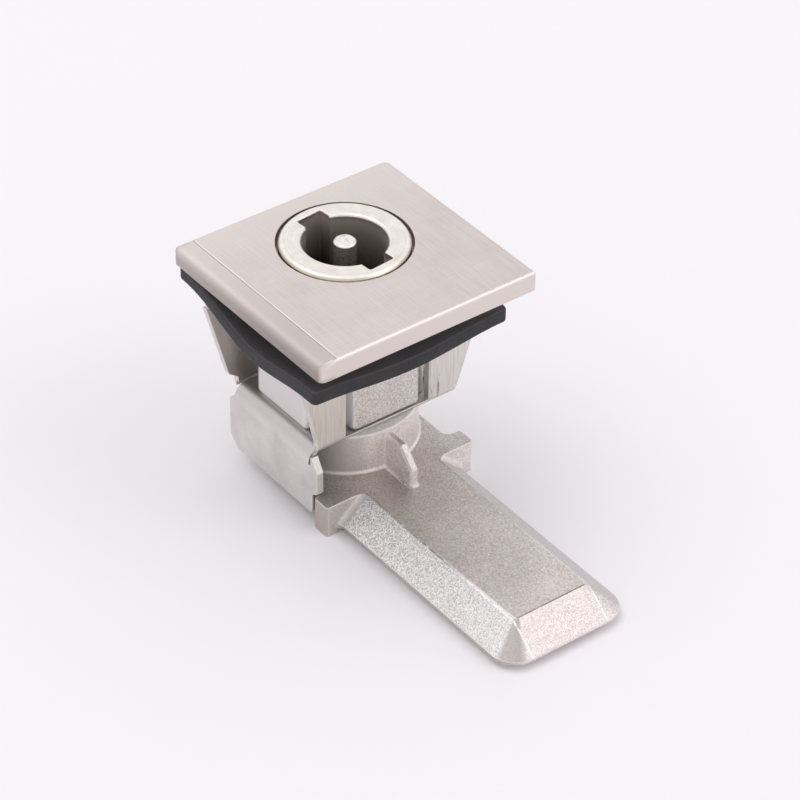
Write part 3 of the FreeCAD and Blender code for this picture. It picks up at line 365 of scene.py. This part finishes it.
def makeSpringSheet():
    # Rolled stainless spring sheet, blanked and bent: satin, with uneven draw marks down the leaves,
    # soft smudges on the wall, painted shade on the bend and on the leaf behind the body, and cut edges
    # brightened by wear and painted highlight
    s = springSheet
    material, tree = newMaterial("rolledSpringSheetSatin")
    place, at = placeInMm(tree)
    facing = addNode(tree, "SeparateXYZ", {0: addNode(tree, "NewGeometry")["Normal"]})
    across = addNode(tree, "Math", {0: facing["X"]}, operation="ABSOLUTE")
    leaf = addNode(tree, "MapRange", {"Value": across[0], **s["leafFacing"]})
    draw = grainOf(tree, place, *s["draw"])
    scratch = grainOf(tree, place, *s["scratches"])
    smudge = grainOf(tree, place, *s["smudges"])
    skin = grainOf(tree, place, *s["skin"])
    drawn = addNode(tree, "MapRange", {"Value": draw, **s["drawTone"]})
    leafTone = addNode(tree, "Mix", {0: drawn[0], 6: s["leafDark"], 7: s["leaf"]}, data_type="RGBA")
    leafTone = addNode(tree, "Mix", {0: s["leafEven"], 6: leafTone[2], 7: s["leaf"]}, data_type="RGBA")
    # painted shade: the leaf behind the body is duller
    behind = addNode(tree, "MapRange", {"Value": at["X"], **s["behind"]})
    leafTone = addNode(tree, "Mix", {0: behind[0], 6: leafTone[2], 7: s["leafBehindShade"]}, data_type="RGBA")
    cut = addNode(tree, "MapRange", {"Value": scratch, **s["scratchTone"]})
    leafTone = addNode(tree, "Mix", {0: cut[0], 6: leafTone[2], 7: s["scratch"]}, data_type="RGBA")
    # the wall is cloudy, and painted shade makes the bend above it greyer
    cloudy = addNode(tree, "Math", {0: skin, 1: s["skinShare"], 2: smudge}, operation="MULTIPLY_ADD")
    cloudy = addNode(tree, "MapRange", {"Value": cloudy[0], **s["wallTone"]})
    wallTone = addNode(tree, "Mix", {0: cloudy[0], 6: s["dark"], 7: s["pale"]}, data_type="RGBA")
    over = addNode(tree, "MapRange", {"Value": facing["Z"], **s["bendFacing"]})
    wallTone = addNode(tree, "Mix", {0: over[0], 6: wallTone[2], 7: s["bend"]}, data_type="RGBA")
    colour = addNode(tree, "Mix", {0: leaf[0], 6: wallTone[2], 7: leafTone[2]}, data_type="RGBA")
    # cut edges lighten: partly wear, partly painted highlight
    soft, edge = roundedEdges(tree, s["edge"] * mm)
    brightened = addNode(tree, "Math", {0: edge, 1: s["wearHighlight"]}, operation="MULTIPLY")
    colour = addNode(tree, "Mix", {0: brightened[0], 6: colour[2], 7: s["wearHighlightColour"]}, data_type="RGBA")
    rough = addNode(tree, "MapRange", {"Value": smudge, **s["rough"]})
    drawnRelief = addNode(tree, "Math", {0: draw, 1: leaf[0]}, operation="MULTIPLY")
    steelSkin(tree, colour[2], rough[0], [(drawnRelief[0], s["drawDepth"]), (skin, s["skinDepth"])], soft)
    return material


turned = {
    "pale": "#f6f2e8", "dark": "#e6dfd5", "bore": "#d8cfc6", "boreDeepShade": "#6f665f", "rimFoot": "#cfc3b2",
    "wearHighlightColour": "#fffdf6", "cloud": (1.6, (1, 1, 1), 4.0, 0.6),
    "turnGap": 0.14, "edge": 0.35, "cloudDepth": 0.01, "turnDepth": 0.003,       # mm
    "footDown": {"From Min": 2.98, "From Max": 2.85}, "footOut": {"From Min": 8.3, "From Max": 8.4},
    "socketDown": {"From Min": 2.85, "From Max": 2.2}, "socketIn": {"From Min": 7.6, "From Max": 7.4},
    "socketShadeDown": {"From Min": 1.5, "From Max": -5.0},
    "tone": {"From Min": 0.75, "From Max": 1.15},
    "rough": {"From Min": 0.3, "From Max": 0.7, "To Min": 0.28, "To Max": 0.40},
    "socketRough": 0.55, "wearHighlight": 0.4,
}


def makeTurned():
    # Turned stainless steel, satin: a creamy ring with fine turning lines about the lock axis,
    # and a key socket that painted shade darkens with depth
    s = turned
    material, tree = newMaterial("turnedStainlessSatin")
    place, at = placeInMm(tree)
    flat = addNode(tree, "CombineXYZ", {"X": at["X"], "Y": at["Y"]})
    radius = addNode(tree, "VectorMath", {0: flat[0]}, operation="LENGTH")["Value"]
    turns = addNode(tree, "Math", {0: radius, 1: 1 / s["turnGap"]}, operation="MULTIPLY")
    rings = addNode(tree, "TexNoise", {"W": turns[0], "Scale": 1.0, "Detail": 2.0}, noise_dimensions="1D")
    cloud = grainOf(tree, place, *s["cloud"])
    tone = addNode(tree, "Math", {0: rings["Fac"], 1: cloud}, operation="ADD")
    tone = addNode(tree, "MapRange", {"Value": tone[0], **s["tone"]})
    colour = addNode(tree, "Mix", {0: tone[0], 6: s["dark"], 7: s["pale"]}, data_type="RGBA")
    # painted shadow: the foot of the ring's outer rim is browner
    rimFoot = addNode(tree, "MapRange", {"Value": at["Z"], **s["footDown"]})
    rim = addNode(tree, "MapRange", {"Value": radius, **s["footOut"]})
    rimFoot = addNode(tree, "Math", {0: rimFoot[0], 1: rim[0]}, operation="MULTIPLY")
    colour = addNode(tree, "Mix", {0: rimFoot[0], 6: colour[2], 7: s["rimFoot"]}, data_type="RGBA")
    # edges lighten: partly wear, partly painted highlight
    soft, edge = roundedEdges(tree, s["edge"] * mm)
    brightened = addNode(tree, "Math", {0: edge, 1: s["wearHighlight"]}, operation="MULTIPLY")
    colour = addNode(tree, "Mix", {0: brightened[0], 6: colour[2], 7: s["wearHighlightColour"]}, data_type="RGBA")
    # the socket: painted shade that darkens with depth
    depth = addNode(tree, "MapRange", {"Value": at["Z"], **s["socketDown"]})
    within = addNode(tree, "MapRange", {"Value": radius, **s["socketIn"]})
    inside = addNode(tree, "Math", {0: depth[0], 1: within[0]}, operation="MULTIPLY")
    deep = addNode(tree, "MapRange", {"Value": at["Z"], **s["socketShadeDown"]})
    socketShade = addNode(tree, "Mix", {0: deep[0], 6: s["bore"], 7: s["boreDeepShade"]}, data_type="RGBA")
    colour = addNode(tree, "Mix", {0: inside[0], 6: colour[2], 7: socketShade[2]}, data_type="RGBA")
    rough = addNode(tree, "MapRange", {"Value": cloud, **s["rough"]})
    rough = addNode(tree, "Mix", {0: inside[0], 2: rough[0], 3: s["socketRough"]})
    steelSkin(tree, colour[2], rough[0], [(cloud, s["cloudDepth"]), (rings["Fac"], s["turnDepth"])], soft)
    return material


groundPin = {
    "pale": "#f6f2ed", "dark": "#bfb7af", "nicks": (0.6, (1, 1, 1), 3.0, 0.6),
    "edge": 0.2, "nickDepth": 0.03,                                  # mm
    "tone": {"From Min": 0.30, "From Max": 0.50},
    "rough": {"From Min": 0.3, "From Max": 0.7, "To Min": 0.42, "To Max": 0.24},
}


def makeGroundPin():
    # Hardened steel pin, its end ground and then knocked by keys: bright, with small nicks
    s = groundPin
    material, tree = newMaterial("hardenedPinGround")
    nicks = grainOf(tree, placeInMm(tree)[0], *s["nicks"])
    tone = addNode(tree, "MapRange", {"Value": nicks, **s["tone"]})
    colour = addNode(tree, "Mix", {0: tone[0], 6: s["dark"], 7: s["pale"]}, data_type="RGBA")
    rough = addNode(tree, "MapRange", {"Value": nicks, **s["rough"]})
    steelSkin(tree, colour[2], rough[0], [(nicks, s["nickDepth"])], roundedEdges(tree, s["edge"] * mm)[0])
    return material


blasted = {
    "top": "#e4ddd8", "topDark": "#b9b1ac", "hub": "#d3ccc7", "hubShadeDark": "#a8a09b",
    "side": "#fdf8f4", "sideDark": "#dad3ce", "sideShade": "#b2aaa5",
    "bevel": "#f2f0ee", "bevelDark": "#a7a3a0", "bevelPale": "#c6c2bf", "bevelFarShade": "#bdb7b5",
    "tip": "#eee5e1", "tipDark": "#cbc3be", "corner": "#b0a9a5", "pock": "#857c77",
    "wearHighlightColour": "#fffcf9", "tipShadowLine": "#7f756f", "rimLine": "#8f8882",
    "fine": (0.23, (1, 1, 1), 3.0, 0.65), "cloud": (8.0, (1, 1, 1), 3.0, 0.6), "cellGap": 0.12,
    "pocks": (0.55, (1, 1, 1), 3.0, 0.7), "ragged": (0.45, (1, 1, 1), 3.0, 0.7),
    # mm from the lock axis: the line before the tip's bevel, and half the flat top's width
    "tipLineAt": 43.78, "tipLineWidth": (0.16, 0.06), "flatHalf": 6.0, "rimLineWidth": (0.17, 0.06),
    "edge": 0.28, "pitDepth": 0.02, "fineDepth": 0.04,               # mm
    "tongue": {"From Min": 12.0, "From Max": 13.5},
    "nearHub": {"From Min": 23.0, "From Max": 16.0},
    "pastHub": {"From Min": 6.0, "From Max": 15.0, "To Min": 0.35, "To Max": 0.8},
    "pocked": {"From Min": 34.0, "From Max": 24.0},
    "pastRib": {"From Min": -2.5, "From Max": -4.0},
    "lugAlong": {"From Min": 21.0, "From Max": 18.0, "To Max": 0.4},
    "lugAcross": {"From Min": -6.5, "From Max": -7.5},
    "bevelRub": {"From Min": 15.0, "From Max": 40.0},
    "rimTowardsTip": {"From Min": 28.0, "From Max": 35.0},
    "hubRimLit": {"From Min": -21.85, "From Max": -21.3},
    "flatFacing": {"From Min": 0.90, "From Max": 0.97},
    "raisedFacing": {"From Min": 0.35, "From Max": 0.50},
    "wallFacing": {"From Min": -0.1, "From Max": -0.65, "To Max": 0.72},
    "farFacing": {"From Min": 0.2, "From Max": 0.5, "To Max": 0.6},
    "tipFacing": {"From Min": 0.35, "From Max": 0.55},
    "cornerFacing": {"From Min": -0.05, "From Max": -0.14, "To Max": 0.8},
    "steepRough": {"From Min": 0.5, "From Max": 0.2, "To Max": 0.14},
    "speckTone": {"From Min": 0.48, "From Max": 0.80},
    "pockTone": {"From Min": 0.38, "From Max": 0.32, "To Max": 0.55},
    "breaks": {"From Min": 0.36, "From Max": 0.46},
    "cellTone": {"From Min": 0.22, "From Max": 0.68},
    "raggedTone": {"From Min": 0.40, "From Max": 0.52},
    "rough": {"From Min": 0.3, "From Max": 0.7, "To Min": 0.44, "To Max": 0.56},
    "cloudShare": 0.3, "patchLeast": 0.7, "wearHighlight": 0.85, "wearHighlightRough": -0.22,
    "wearHighlightMetal": -0.6, "rimMetal": -0.55,                            # what wear and painted highlight take off the metallic look of edges and hub rim
}


def makeBlasted():
    # Investment-cast stainless steel, shot-blasted: a warm grey flat top rubbed smooth and specked with pits,
    # silver grain on the bevels, painted shade near the hub, towards the stop wall and in lines and corners, and
    # edges brightened by wear and painted highlight
    s = blasted
    material, tree = newMaterial("castStainlessShotBlasted")
    place, at = placeInMm(tree)
    facing = addNode(tree, "SeparateXYZ", {0: addNode(tree, "NewGeometry")["Normal"]})
    flat = addNode(tree, "MapRange", {"Value": facing["Z"], **s["flatFacing"]})
    raised = addNode(tree, "MapRange", {"Value": facing["Z"], **s["raisedFacing"]})
    steep = addNode(tree, "Math", {0: 1.0, 1: flat[0]}, operation="SUBTRACT")
    onTongue = addNode(tree, "MapRange", {"Value": at["X"], **s["tongue"]})
    slope = addNode(tree, "Math", {0: raised[0], 1: steep[0]}, operation="MULTIPLY")
    slope = addNode(tree, "Math", {0: slope[0], 1: onTongue[0]}, operation="MULTIPLY")
    fine = grainOf(tree, place, *s["fine"])
    cells = cellsOf(tree, place, s["cellGap"])
    cloud = grainOf(tree, place, *s["cloud"])
    # flat top: specks and wide clouds, painted shade that darkens it near the hub, and pocks that thin out
    # towards the tip
    specks = addNode(tree, "Math", {0: cloud, 1: s["cloudShare"], 2: fine}, operation="MULTIPLY_ADD")
    specks = addNode(tree, "MapRange", {"Value": specks[0], **s["speckTone"]})
    top = addNode(tree, "Mix", {0: specks[0], 6: s["topDark"], 7: s["top"]}, data_type="RGBA")
    near = addNode(tree, "MapRange", {"Value": at["X"], **s["nearHub"]})
    past = addNode(tree, "MapRange", {"Value": at["X"], **s["pastHub"]})
    near = addNode(tree, "Math", {0: near[0], 1: past[0]}, operation="MULTIPLY")
    nearHubShade = addNode(tree, "Mix", {0: specks[0], 6: s["hubShadeDark"], 7: s["hub"]}, data_type="RGBA")
    top = addNode(tree, "Mix", {0: near[0], 6: top[2], 7: nearHubShade[2]}, data_type="RGBA")
    pocks = addNode(tree, "MapRange", {"Value": grainOf(tree, place, *s["pocks"]), **s["pockTone"]})
    pocked = addNode(tree, "MapRange", {"Value": at["X"], **s["pocked"]})
    pocks = addNode(tree, "Math", {0: pocks[0], 1: pocked[0]}, operation="MULTIPLY")
    top = addNode(tree, "Mix", {0: pocks[0], 6: top[2], 7: s["pock"]}, data_type="RGBA")
    # painted shadow: a dark line, broken here and there, where the flat top ends at the tip's bevel
    end = lineAt(tree, at["X"], s["tipLineAt"], s["tipLineWidth"])
    broken = addNode(tree, "MapRange", {"Value": cloud, **s["breaks"]})
    end = addNode(tree, "Math", {0: end, 1: broken[0]}, operation="MULTIPLY")
    top = addNode(tree, "Mix", {0: end[0], 6: top[2], 7: s["tipShadowLine"]}, data_type="RGBA")
    # sides: painted shade on faces towards the stop wall, also on that side's lug, but not on the rib
    side = addNode(tree, "Mix", {0: specks[0], 6: s["sideDark"], 7: s["side"]}, data_type="RGBA")
    wallShade = addNode(tree, "MapRange", {"Value": facing["Y"], **s["wallFacing"]})
    pastRib = addNode(tree, "MapRange", {"Value": at["Y"], **s["pastRib"]})
    wallShade = addNode(tree, "Math", {0: wallShade[0], 1: pastRib[0]}, operation="MULTIPLY")
    onLug = addNode(tree, "MapRange", {"Value": at["X"], **s["lugAlong"]})
    outer = addNode(tree, "MapRange", {"Value": at["Y"], **s["lugAcross"]})
    onLug = addNode(tree, "Math", {0: onLug[0], 1: outer[0]}, operation="MULTIPLY")
    wallShade = addNode(tree, "Math", {0: wallShade[0], 1: onLug[0]}, operation="MAXIMUM")
    side = addNode(tree, "Mix", {0: wallShade[0], 6: side[2], 7: s["sideShade"]}, data_type="RGBA")
    base = addNode(tree, "Mix", {0: flat[0], 6: side[2], 7: top[2]}, data_type="RGBA")
    # bevels: bright sparkling grain, stronger near the hub, painted shade on the far side, and warmer on the tip
    spots = addNode(tree, "MapRange", {"Value": cells, **s["cellTone"]})
    rubbed = addNode(tree, "MapRange", {"Value": at["X"], **s["bevelRub"]})
    between = addNode(tree, "Mix", {0: rubbed[0], 6: s["bevelDark"], 7: s["bevelPale"]}, data_type="RGBA")
    grainy = addNode(tree, "Mix", {0: spots[0], 6: between[2], 7: s["bevel"]}, data_type="RGBA")
    away = addNode(tree, "MapRange", {"Value": facing["Y"], **s["farFacing"]})
    grainy = addNode(tree, "Mix", {0: away[0], 6: grainy[2], 7: s["bevelFarShade"]}, data_type="RGBA")
    warm = addNode(tree, "Mix", {0: spots[0], 6: s["tipDark"], 7: s["tip"]}, data_type="RGBA")
    ahead = addNode(tree, "MapRange", {"Value": facing["X"], **s["tipFacing"]})
    grainy = addNode(tree, "Mix", {0: ahead[0], 6: grainy[2], 7: warm[2]}, data_type="RGBA")
    # painted shade: the rounded corner between two bevels is darker
    corner = addNode(tree, "Math", {0: facing["X"], 1: facing["Y"]}, operation="MULTIPLY")
    corner = addNode(tree, "MapRange", {"Value": corner[0], **s["cornerFacing"]})
    grainy = addNode(tree, "Mix", {0: corner[0], 6: grainy[2], 7: s["corner"]}, data_type="RGBA")
    colour = addNode(tree, "Mix", {0: slope[0], 6: base[2], 7: grainy[2]}, data_type="RGBA")
    # where the flat top meets the long bevels a ragged line runs, dark near the hub and bright at the tip
    beside = addNode(tree, "Math", {0: at["Y"]}, operation="ABSOLUTE")
    rim = lineAt(tree, beside[0], s["flatHalf"], s["rimLineWidth"])
    ragged = addNode(tree, "MapRange", {"Value": grainOf(tree, place, *s["ragged"]), **s["raggedTone"]})
    for mask in (ragged, onTongue, raised):
        rim = addNode(tree, "Math", {0: rim, 1: mask[0]}, operation="MULTIPLY")[0]
    bright = addNode(tree, "MapRange", {"Value": at["X"], **s["rimTowardsTip"]})
    rimTone = addNode(tree, "Mix", {0: bright[0], 6: s["rimLine"], 7: s["wearHighlightColour"]}, data_type="RGBA")
    colour = addNode(tree, "Mix", {0: rim, 6: colour[2], 7: rimTone[2]}, data_type="RGBA")
    # edges brighten, partly from wear and partly as painted highlight, and painted light brightens the hub's
    # upper rim in the shade under the clip
    soft, edge = roundedEdges(tree, s["edge"] * mm)
    hubRimLit = addNode(tree, "MapRange", {"Value": at["Z"], **s["hubRimLit"]})
    patchy = addNode(tree, "MapRange", {"Value": ragged[0], "To Min": s["patchLeast"]})
    hubRimLit = addNode(tree, "Math", {0: hubRimLit[0], 1: patchy[0]}, operation="MULTIPLY")
    brightened = addNode(tree, "Math", {0: edge, 1: hubRimLit[0]}, operation="MAXIMUM")
    brightened = addNode(tree, "Math", {0: brightened[0], 1: s["wearHighlight"]}, operation="MULTIPLY")
    colour = addNode(tree, "Mix", {0: brightened[0], 6: colour[2], 7: s["wearHighlightColour"]}, data_type="RGBA")
    rough = addNode(tree, "MapRange", {"Value": fine, **s["rough"]})
    matt = addNode(tree, "MapRange", {"Value": facing["Z"], **s["steepRough"]})
    rough = addNode(tree, "Math", {0: rough[0], 1: matt[0]}, operation="ADD")
    rough = addNode(tree, "Math", {0: brightened[0], 1: s["wearHighlightRough"], 2: rough[0]}, operation="MULTIPLY_ADD")
    pits = addNode(tree, "Math", {0: cells, 1: slope[0]}, operation="MULTIPLY")
    # the edges, brightened by wear and painted highlight, and the painted light on the hub rim take less of the
    # metallic look, so they stay bright from all sides
    taken = addNode(tree, "Math", {0: hubRimLit[0], 1: s["rimMetal"], 2: s["wearHighlightMetal"]}, operation="MULTIPLY_ADD")
    metal = addNode(tree, "Math", {0: brightened[0], 1: taken[0], 2: 1.0}, operation="MULTIPLY_ADD")
    steelSkin(tree, colour[2], rough[0], [(pits[0], s["pitDepth"]), (fine, s["fineDepth"])], soft, metal[0])
    return material


fastener = {
    "pale": "#d9d7d4", "dark": "#b6b3af", "rubs": (0.6, (1, 1, 0.3), 3.0, 0.6),
    "edge": 0.12, "rubDepth": 0.008,                                 # mm
    "tone": {"From Min": 0.3, "From Max": 0.7},
    "rough": {"From Min": 0.3, "From Max": 0.7, "To Min": 0.34, "To Max": 0.24},
}


def makeFastener():
    # Cold-headed stainless fastener, tumbled: smooth and bright, with faint rub marks
    s = fastener
    material, tree = newMaterial("fastenerStainlessTumbled")
    rubs = grainOf(tree, placeInMm(tree)[0], *s["rubs"])
    tone = addNode(tree, "MapRange", {"Value": rubs, **s["tone"]})
    colour = addNode(tree, "Mix", {0: tone[0], 6: s["dark"], 7: s["pale"]}, data_type="RGBA")
    rough = addNode(tree, "MapRange", {"Value": rubs, **s["rough"]})
    steelSkin(tree, colour[2], rough[0], [(rubs, s["rubDepth"])], roundedEdges(tree, s["edge"] * mm)[0])
    return material


rubber = {
    "dark": "#232324", "pale": "#39393a", "paleGrey": "#696768", "shine": 0.30, "refraction": 1.52,
    "skin": (0.32, (1, 1, 1), 3.0, 0.6), "cloud": (6.0, (1, 1, 1), 3.0, 0.6),
    "edge": 0.3, "skinDepth": 0.08,                                  # mm
    "tone": {"From Min": 0.50, "From Max": 1.0},
    "upPaler": {"From Min": 0.4, "From Max": 0.9, "To Max": 0.45},
    "rough": {"From Min": 0.3, "From Max": 0.7, "To Min": 0.48, "To Max": 0.66},
    "skinShare": 0.5, "wearHighlight": 0.45,
}


def makeRubber():
    # EPDM rubber, moulded: matt black, with a fine pebbled skin, greyer on its edges, partly rubbed and partly
    # painted highlight, and paler on faces that point up
    s = rubber
    material, tree = newMaterial("epdmRubberMoulded")
    place = placeInMm(tree)[0]
    skin = grainOf(tree, place, *s["skin"])
    cloud = grainOf(tree, place, *s["cloud"])
    tone = addNode(tree, "Math", {0: skin, 1: s["skinShare"], 2: cloud}, operation="MULTIPLY_ADD")
    tone = addNode(tree, "MapRange", {"Value": tone[0], **s["tone"]})
    colour = addNode(tree, "Mix", {0: tone[0], 6: s["dark"], 7: s["pale"]}, data_type="RGBA")
    soft, edge = roundedEdges(tree, s["edge"] * mm)
    facing = addNode(tree, "SeparateXYZ", {0: addNode(tree, "NewGeometry")["Normal"]})
    # edges grey: partly rubbed, partly painted highlight; faces that point up are paler
    upPaler = addNode(tree, "MapRange", {"Value": facing["Z"], **s["upPaler"]})
    brightened = addNode(tree, "Math", {0: edge, 1: s["wearHighlight"], 2: upPaler[0]}, operation="MULTIPLY_ADD")
    colour = addNode(tree, "Mix", {0: brightened[0], 6: colour[2], 7: s["paleGrey"]}, data_type="RGBA")
    relief = addNode(tree, "Bump", {"Height": skin, "Distance": s["skinDepth"] * mm, "Normal": soft})
    rough = addNode(tree, "MapRange", {"Value": skin, **s["rough"]})
    body = addNode(tree, "BsdfPrincipled", {"Base Color": colour[2], "Metallic": 0.0, "IOR": s["refraction"],
                                            "Specular IOR Level": s["shine"], "Roughness": rough[0],
                                            "Normal": relief[0]})
    addNode(tree, "OutputMaterial", {"Surface": body[0]})
    return material


finishes = {
    "housing": makeCastSatin(), "spring_clip": makeSpringSheet(), "driver": makeTurned(),
    "driver_pin": makeGroundPin(), "cam": makeBlasted(), "cam_screw": makeFastener(),
}
finishes["cam_washer"] = finishes["cam_spring_washer"] = finishes["cam_screw"]
rubberSkin = makeRubber()
for name, material in finishes.items():
    nodes[name].data.materials.clear()
    nodes[name].data.materials.append(material)
print("finishes ready")


# rubber pieces, each a rounded section carried round a closed path

def closedGrid(name, points, body, material, stoodFor):
    # Surface through a grid of points, rows round the path and columns round the section, closed both ways
    rows, columns = points.shape[:2]
    i, j = np.meshgrid(np.arange(rows), np.arange(columns), indexing="ij")
    nextRow, nextColumn = (i + 1) % rows, (j + 1) % columns
    corners = [i * columns + j, nextRow * columns + j, nextRow * columns + nextColumn, i * columns + nextColumn]
    faces = np.stack(corners, axis=-1).reshape(-1, 4)
    mesh = bpy.data.meshes.new(name)
    mesh.from_pydata((points.reshape(-1, 3) * mm).tolist(), [], faces.tolist())
    mesh.update()
    mesh.shade_smooth()
    mesh.materials.append(material)
    piece = bpy.data.objects.new(name, mesh)
    bpy.context.scene.collection.objects.link(piece)
    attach(piece, body)
    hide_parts(stoodFor)


def roundedLoop(left, right, low, high, radius, straight, curved):
    # Rectangle with round corners: at each corner an angle a runs over a quarter turn and the point is the
    # corner's centre plus radius times (cos a, sin a), and the straight sides are divided evenly
    centres = [(right - radius, low + radius), (right - radius, high - radius),
               (left + radius, high - radius), (left + radius, low + radius)]
    pieces = []
    for k, (cx, cy) in enumerate(centres):
        angle = np.radians(np.linspace(-90, 0, curved) + 90 * k)
        arc = np.stack([cx + radius * np.cos(angle), cy + radius * np.sin(angle)], axis=1)
        nx, ny = centres[(k + 1) % 4]
        ahead = np.radians(90 * k)
        end = np.array([nx + radius * np.cos(ahead), ny + radius * np.sin(ahead)])
        share = np.linspace(0, 1, straight + 1)[1:-1, None]
        pieces += [arc, arc[-1] + (end - arc[-1]) * share]
    return np.concatenate(pieces)


gasket = {
    "back": -11.75, "front": 17.95, "left": -17.9, "right": 12.7,     # mm, outer edges
    "outerRound": 0.7, "holeAlong": 9.8, "holeAcross": 10.75, "holeRound": 1.2,
    "thick": 2.0, "edgeRound": 0.3,
    "lift": 0.1, "sag": 2.294, "sagPower": 2.5, "frontDrop": 2.6, "crossSag": 1.15,
    "sideCells": 40, "cornerCells": 9, "acrossCells": 12, "upCells": 5, "roundCells": 6,
}


def makeGasket():
    # Top height = -lift - frontDrop sin(pi a / 2)^2 - sag sin(pi a)^sagPower - crossSag a sin(pi b)^2, with a and
    # b from 0 to 1 along and across the sheet; the rounded section runs between an outer and an inner outline
    s = gasket
    outer = roundedLoop(s["back"], s["front"], s["left"], s["right"], s["outerRound"], s["sideCells"],
                        s["cornerCells"])
    inner = roundedLoop(-s["holeAlong"], s["holeAlong"], -s["holeAcross"], s["holeAcross"], s["holeRound"],
                        s["sideCells"], s["cornerCells"])
    width = np.linalg.norm(inner - outer, axis=1)[:, None]
    edge, thick = s["edgeRound"], s["thick"]
    arc = np.radians(np.linspace(0, 90, s["roundCells"]))
    side = np.linspace(edge, thick - edge, s["upCells"])[1:-1]
    span = np.linspace(0, 1, s["acrossCells"])[1:-1]
    c, n = np.cos(arc), np.sin(arc)
    # each row: mm in from the nearer outline, mm down from the top, share of the way to the inner outline
    rows = [
        (edge - edge * n, edge - edge * c, 0 * arc),                   # outer top corner
        (0 * side, side, 0 * side),                                    # outer side
        (edge - edge * c, thick - edge + edge * n, 0 * arc),           # outer bottom corner
        (edge + 0 * span, thick + 0 * span, span),                     # underside
        (-edge + edge * n, thick - edge + edge * c, 1 + 0 * arc),      # inner bottom corner
        (0 * side, side[::-1], 1 + 0 * side),                          # inner side
        (-edge + edge * c, edge - edge * n, 1 + 0 * arc),              # inner top corner
        (-edge + 0 * span, 0 * span, 1 - span),                        # top
    ]
    inset, down, share = (np.concatenate([row[k] for row in rows])[None, :] for k in range(3))
    between = (share > 0) & (share < 1)
    reach = np.where(between, edge + share * (width - 2 * edge), inset + share * width)
    plan = outer[:, None, :] + (inner - outer)[:, None, :] * (reach / width)[:, :, None]
    a = np.clip((plan[..., 0] - s["back"]) / (s["front"] - s["back"]), 0, 1)
    b = (plan[..., 1] - s["left"]) / (s["right"] - s["left"])
    top = (-s["lift"] - s["frontDrop"] * np.sin(np.pi * a / 2) ** 2
           - s["sag"] * np.sin(np.pi * a) ** s["sagPower"] - s["crossSag"] * a * np.sin(np.pi * b) ** 2)
    points = np.dstack([plan, top - down])
    closedGrid("gasketMoulded", points[:, ::-1], "lock_body", rubberSkin, "gasket")


seal = {
    "inner": 4.33, "width": 1.2, "low": -14.6, "round": 0.25,         # mm: radius of the hole, width, underside
    "cells": 96, "sideCells": 3, "cornerCells": 6,
}


def makeSeal():
    # Ring: a rounded square section, radius r and height z, turned about the lock axis
    s = seal
    section = roundedLoop(s["inner"], s["inner"] + s["width"], s["low"], s["low"] + s["width"], s["round"],
                          s["sideCells"], s["cornerCells"])
    turn = np.linspace(0, 2 * np.pi, s["cells"], endpoint=False)[:, None]
    r, z = section[None, :, 0], section[None, :, 1]
    points = np.dstack([r * np.cos(turn), r * np.sin(turn), z + 0 * turn])
    closedGrid("sealRing", points, "driver_and_cam", rubberSkin, "driver_seal")


makeGasket()
makeSeal()
print("rubber pieces ready")
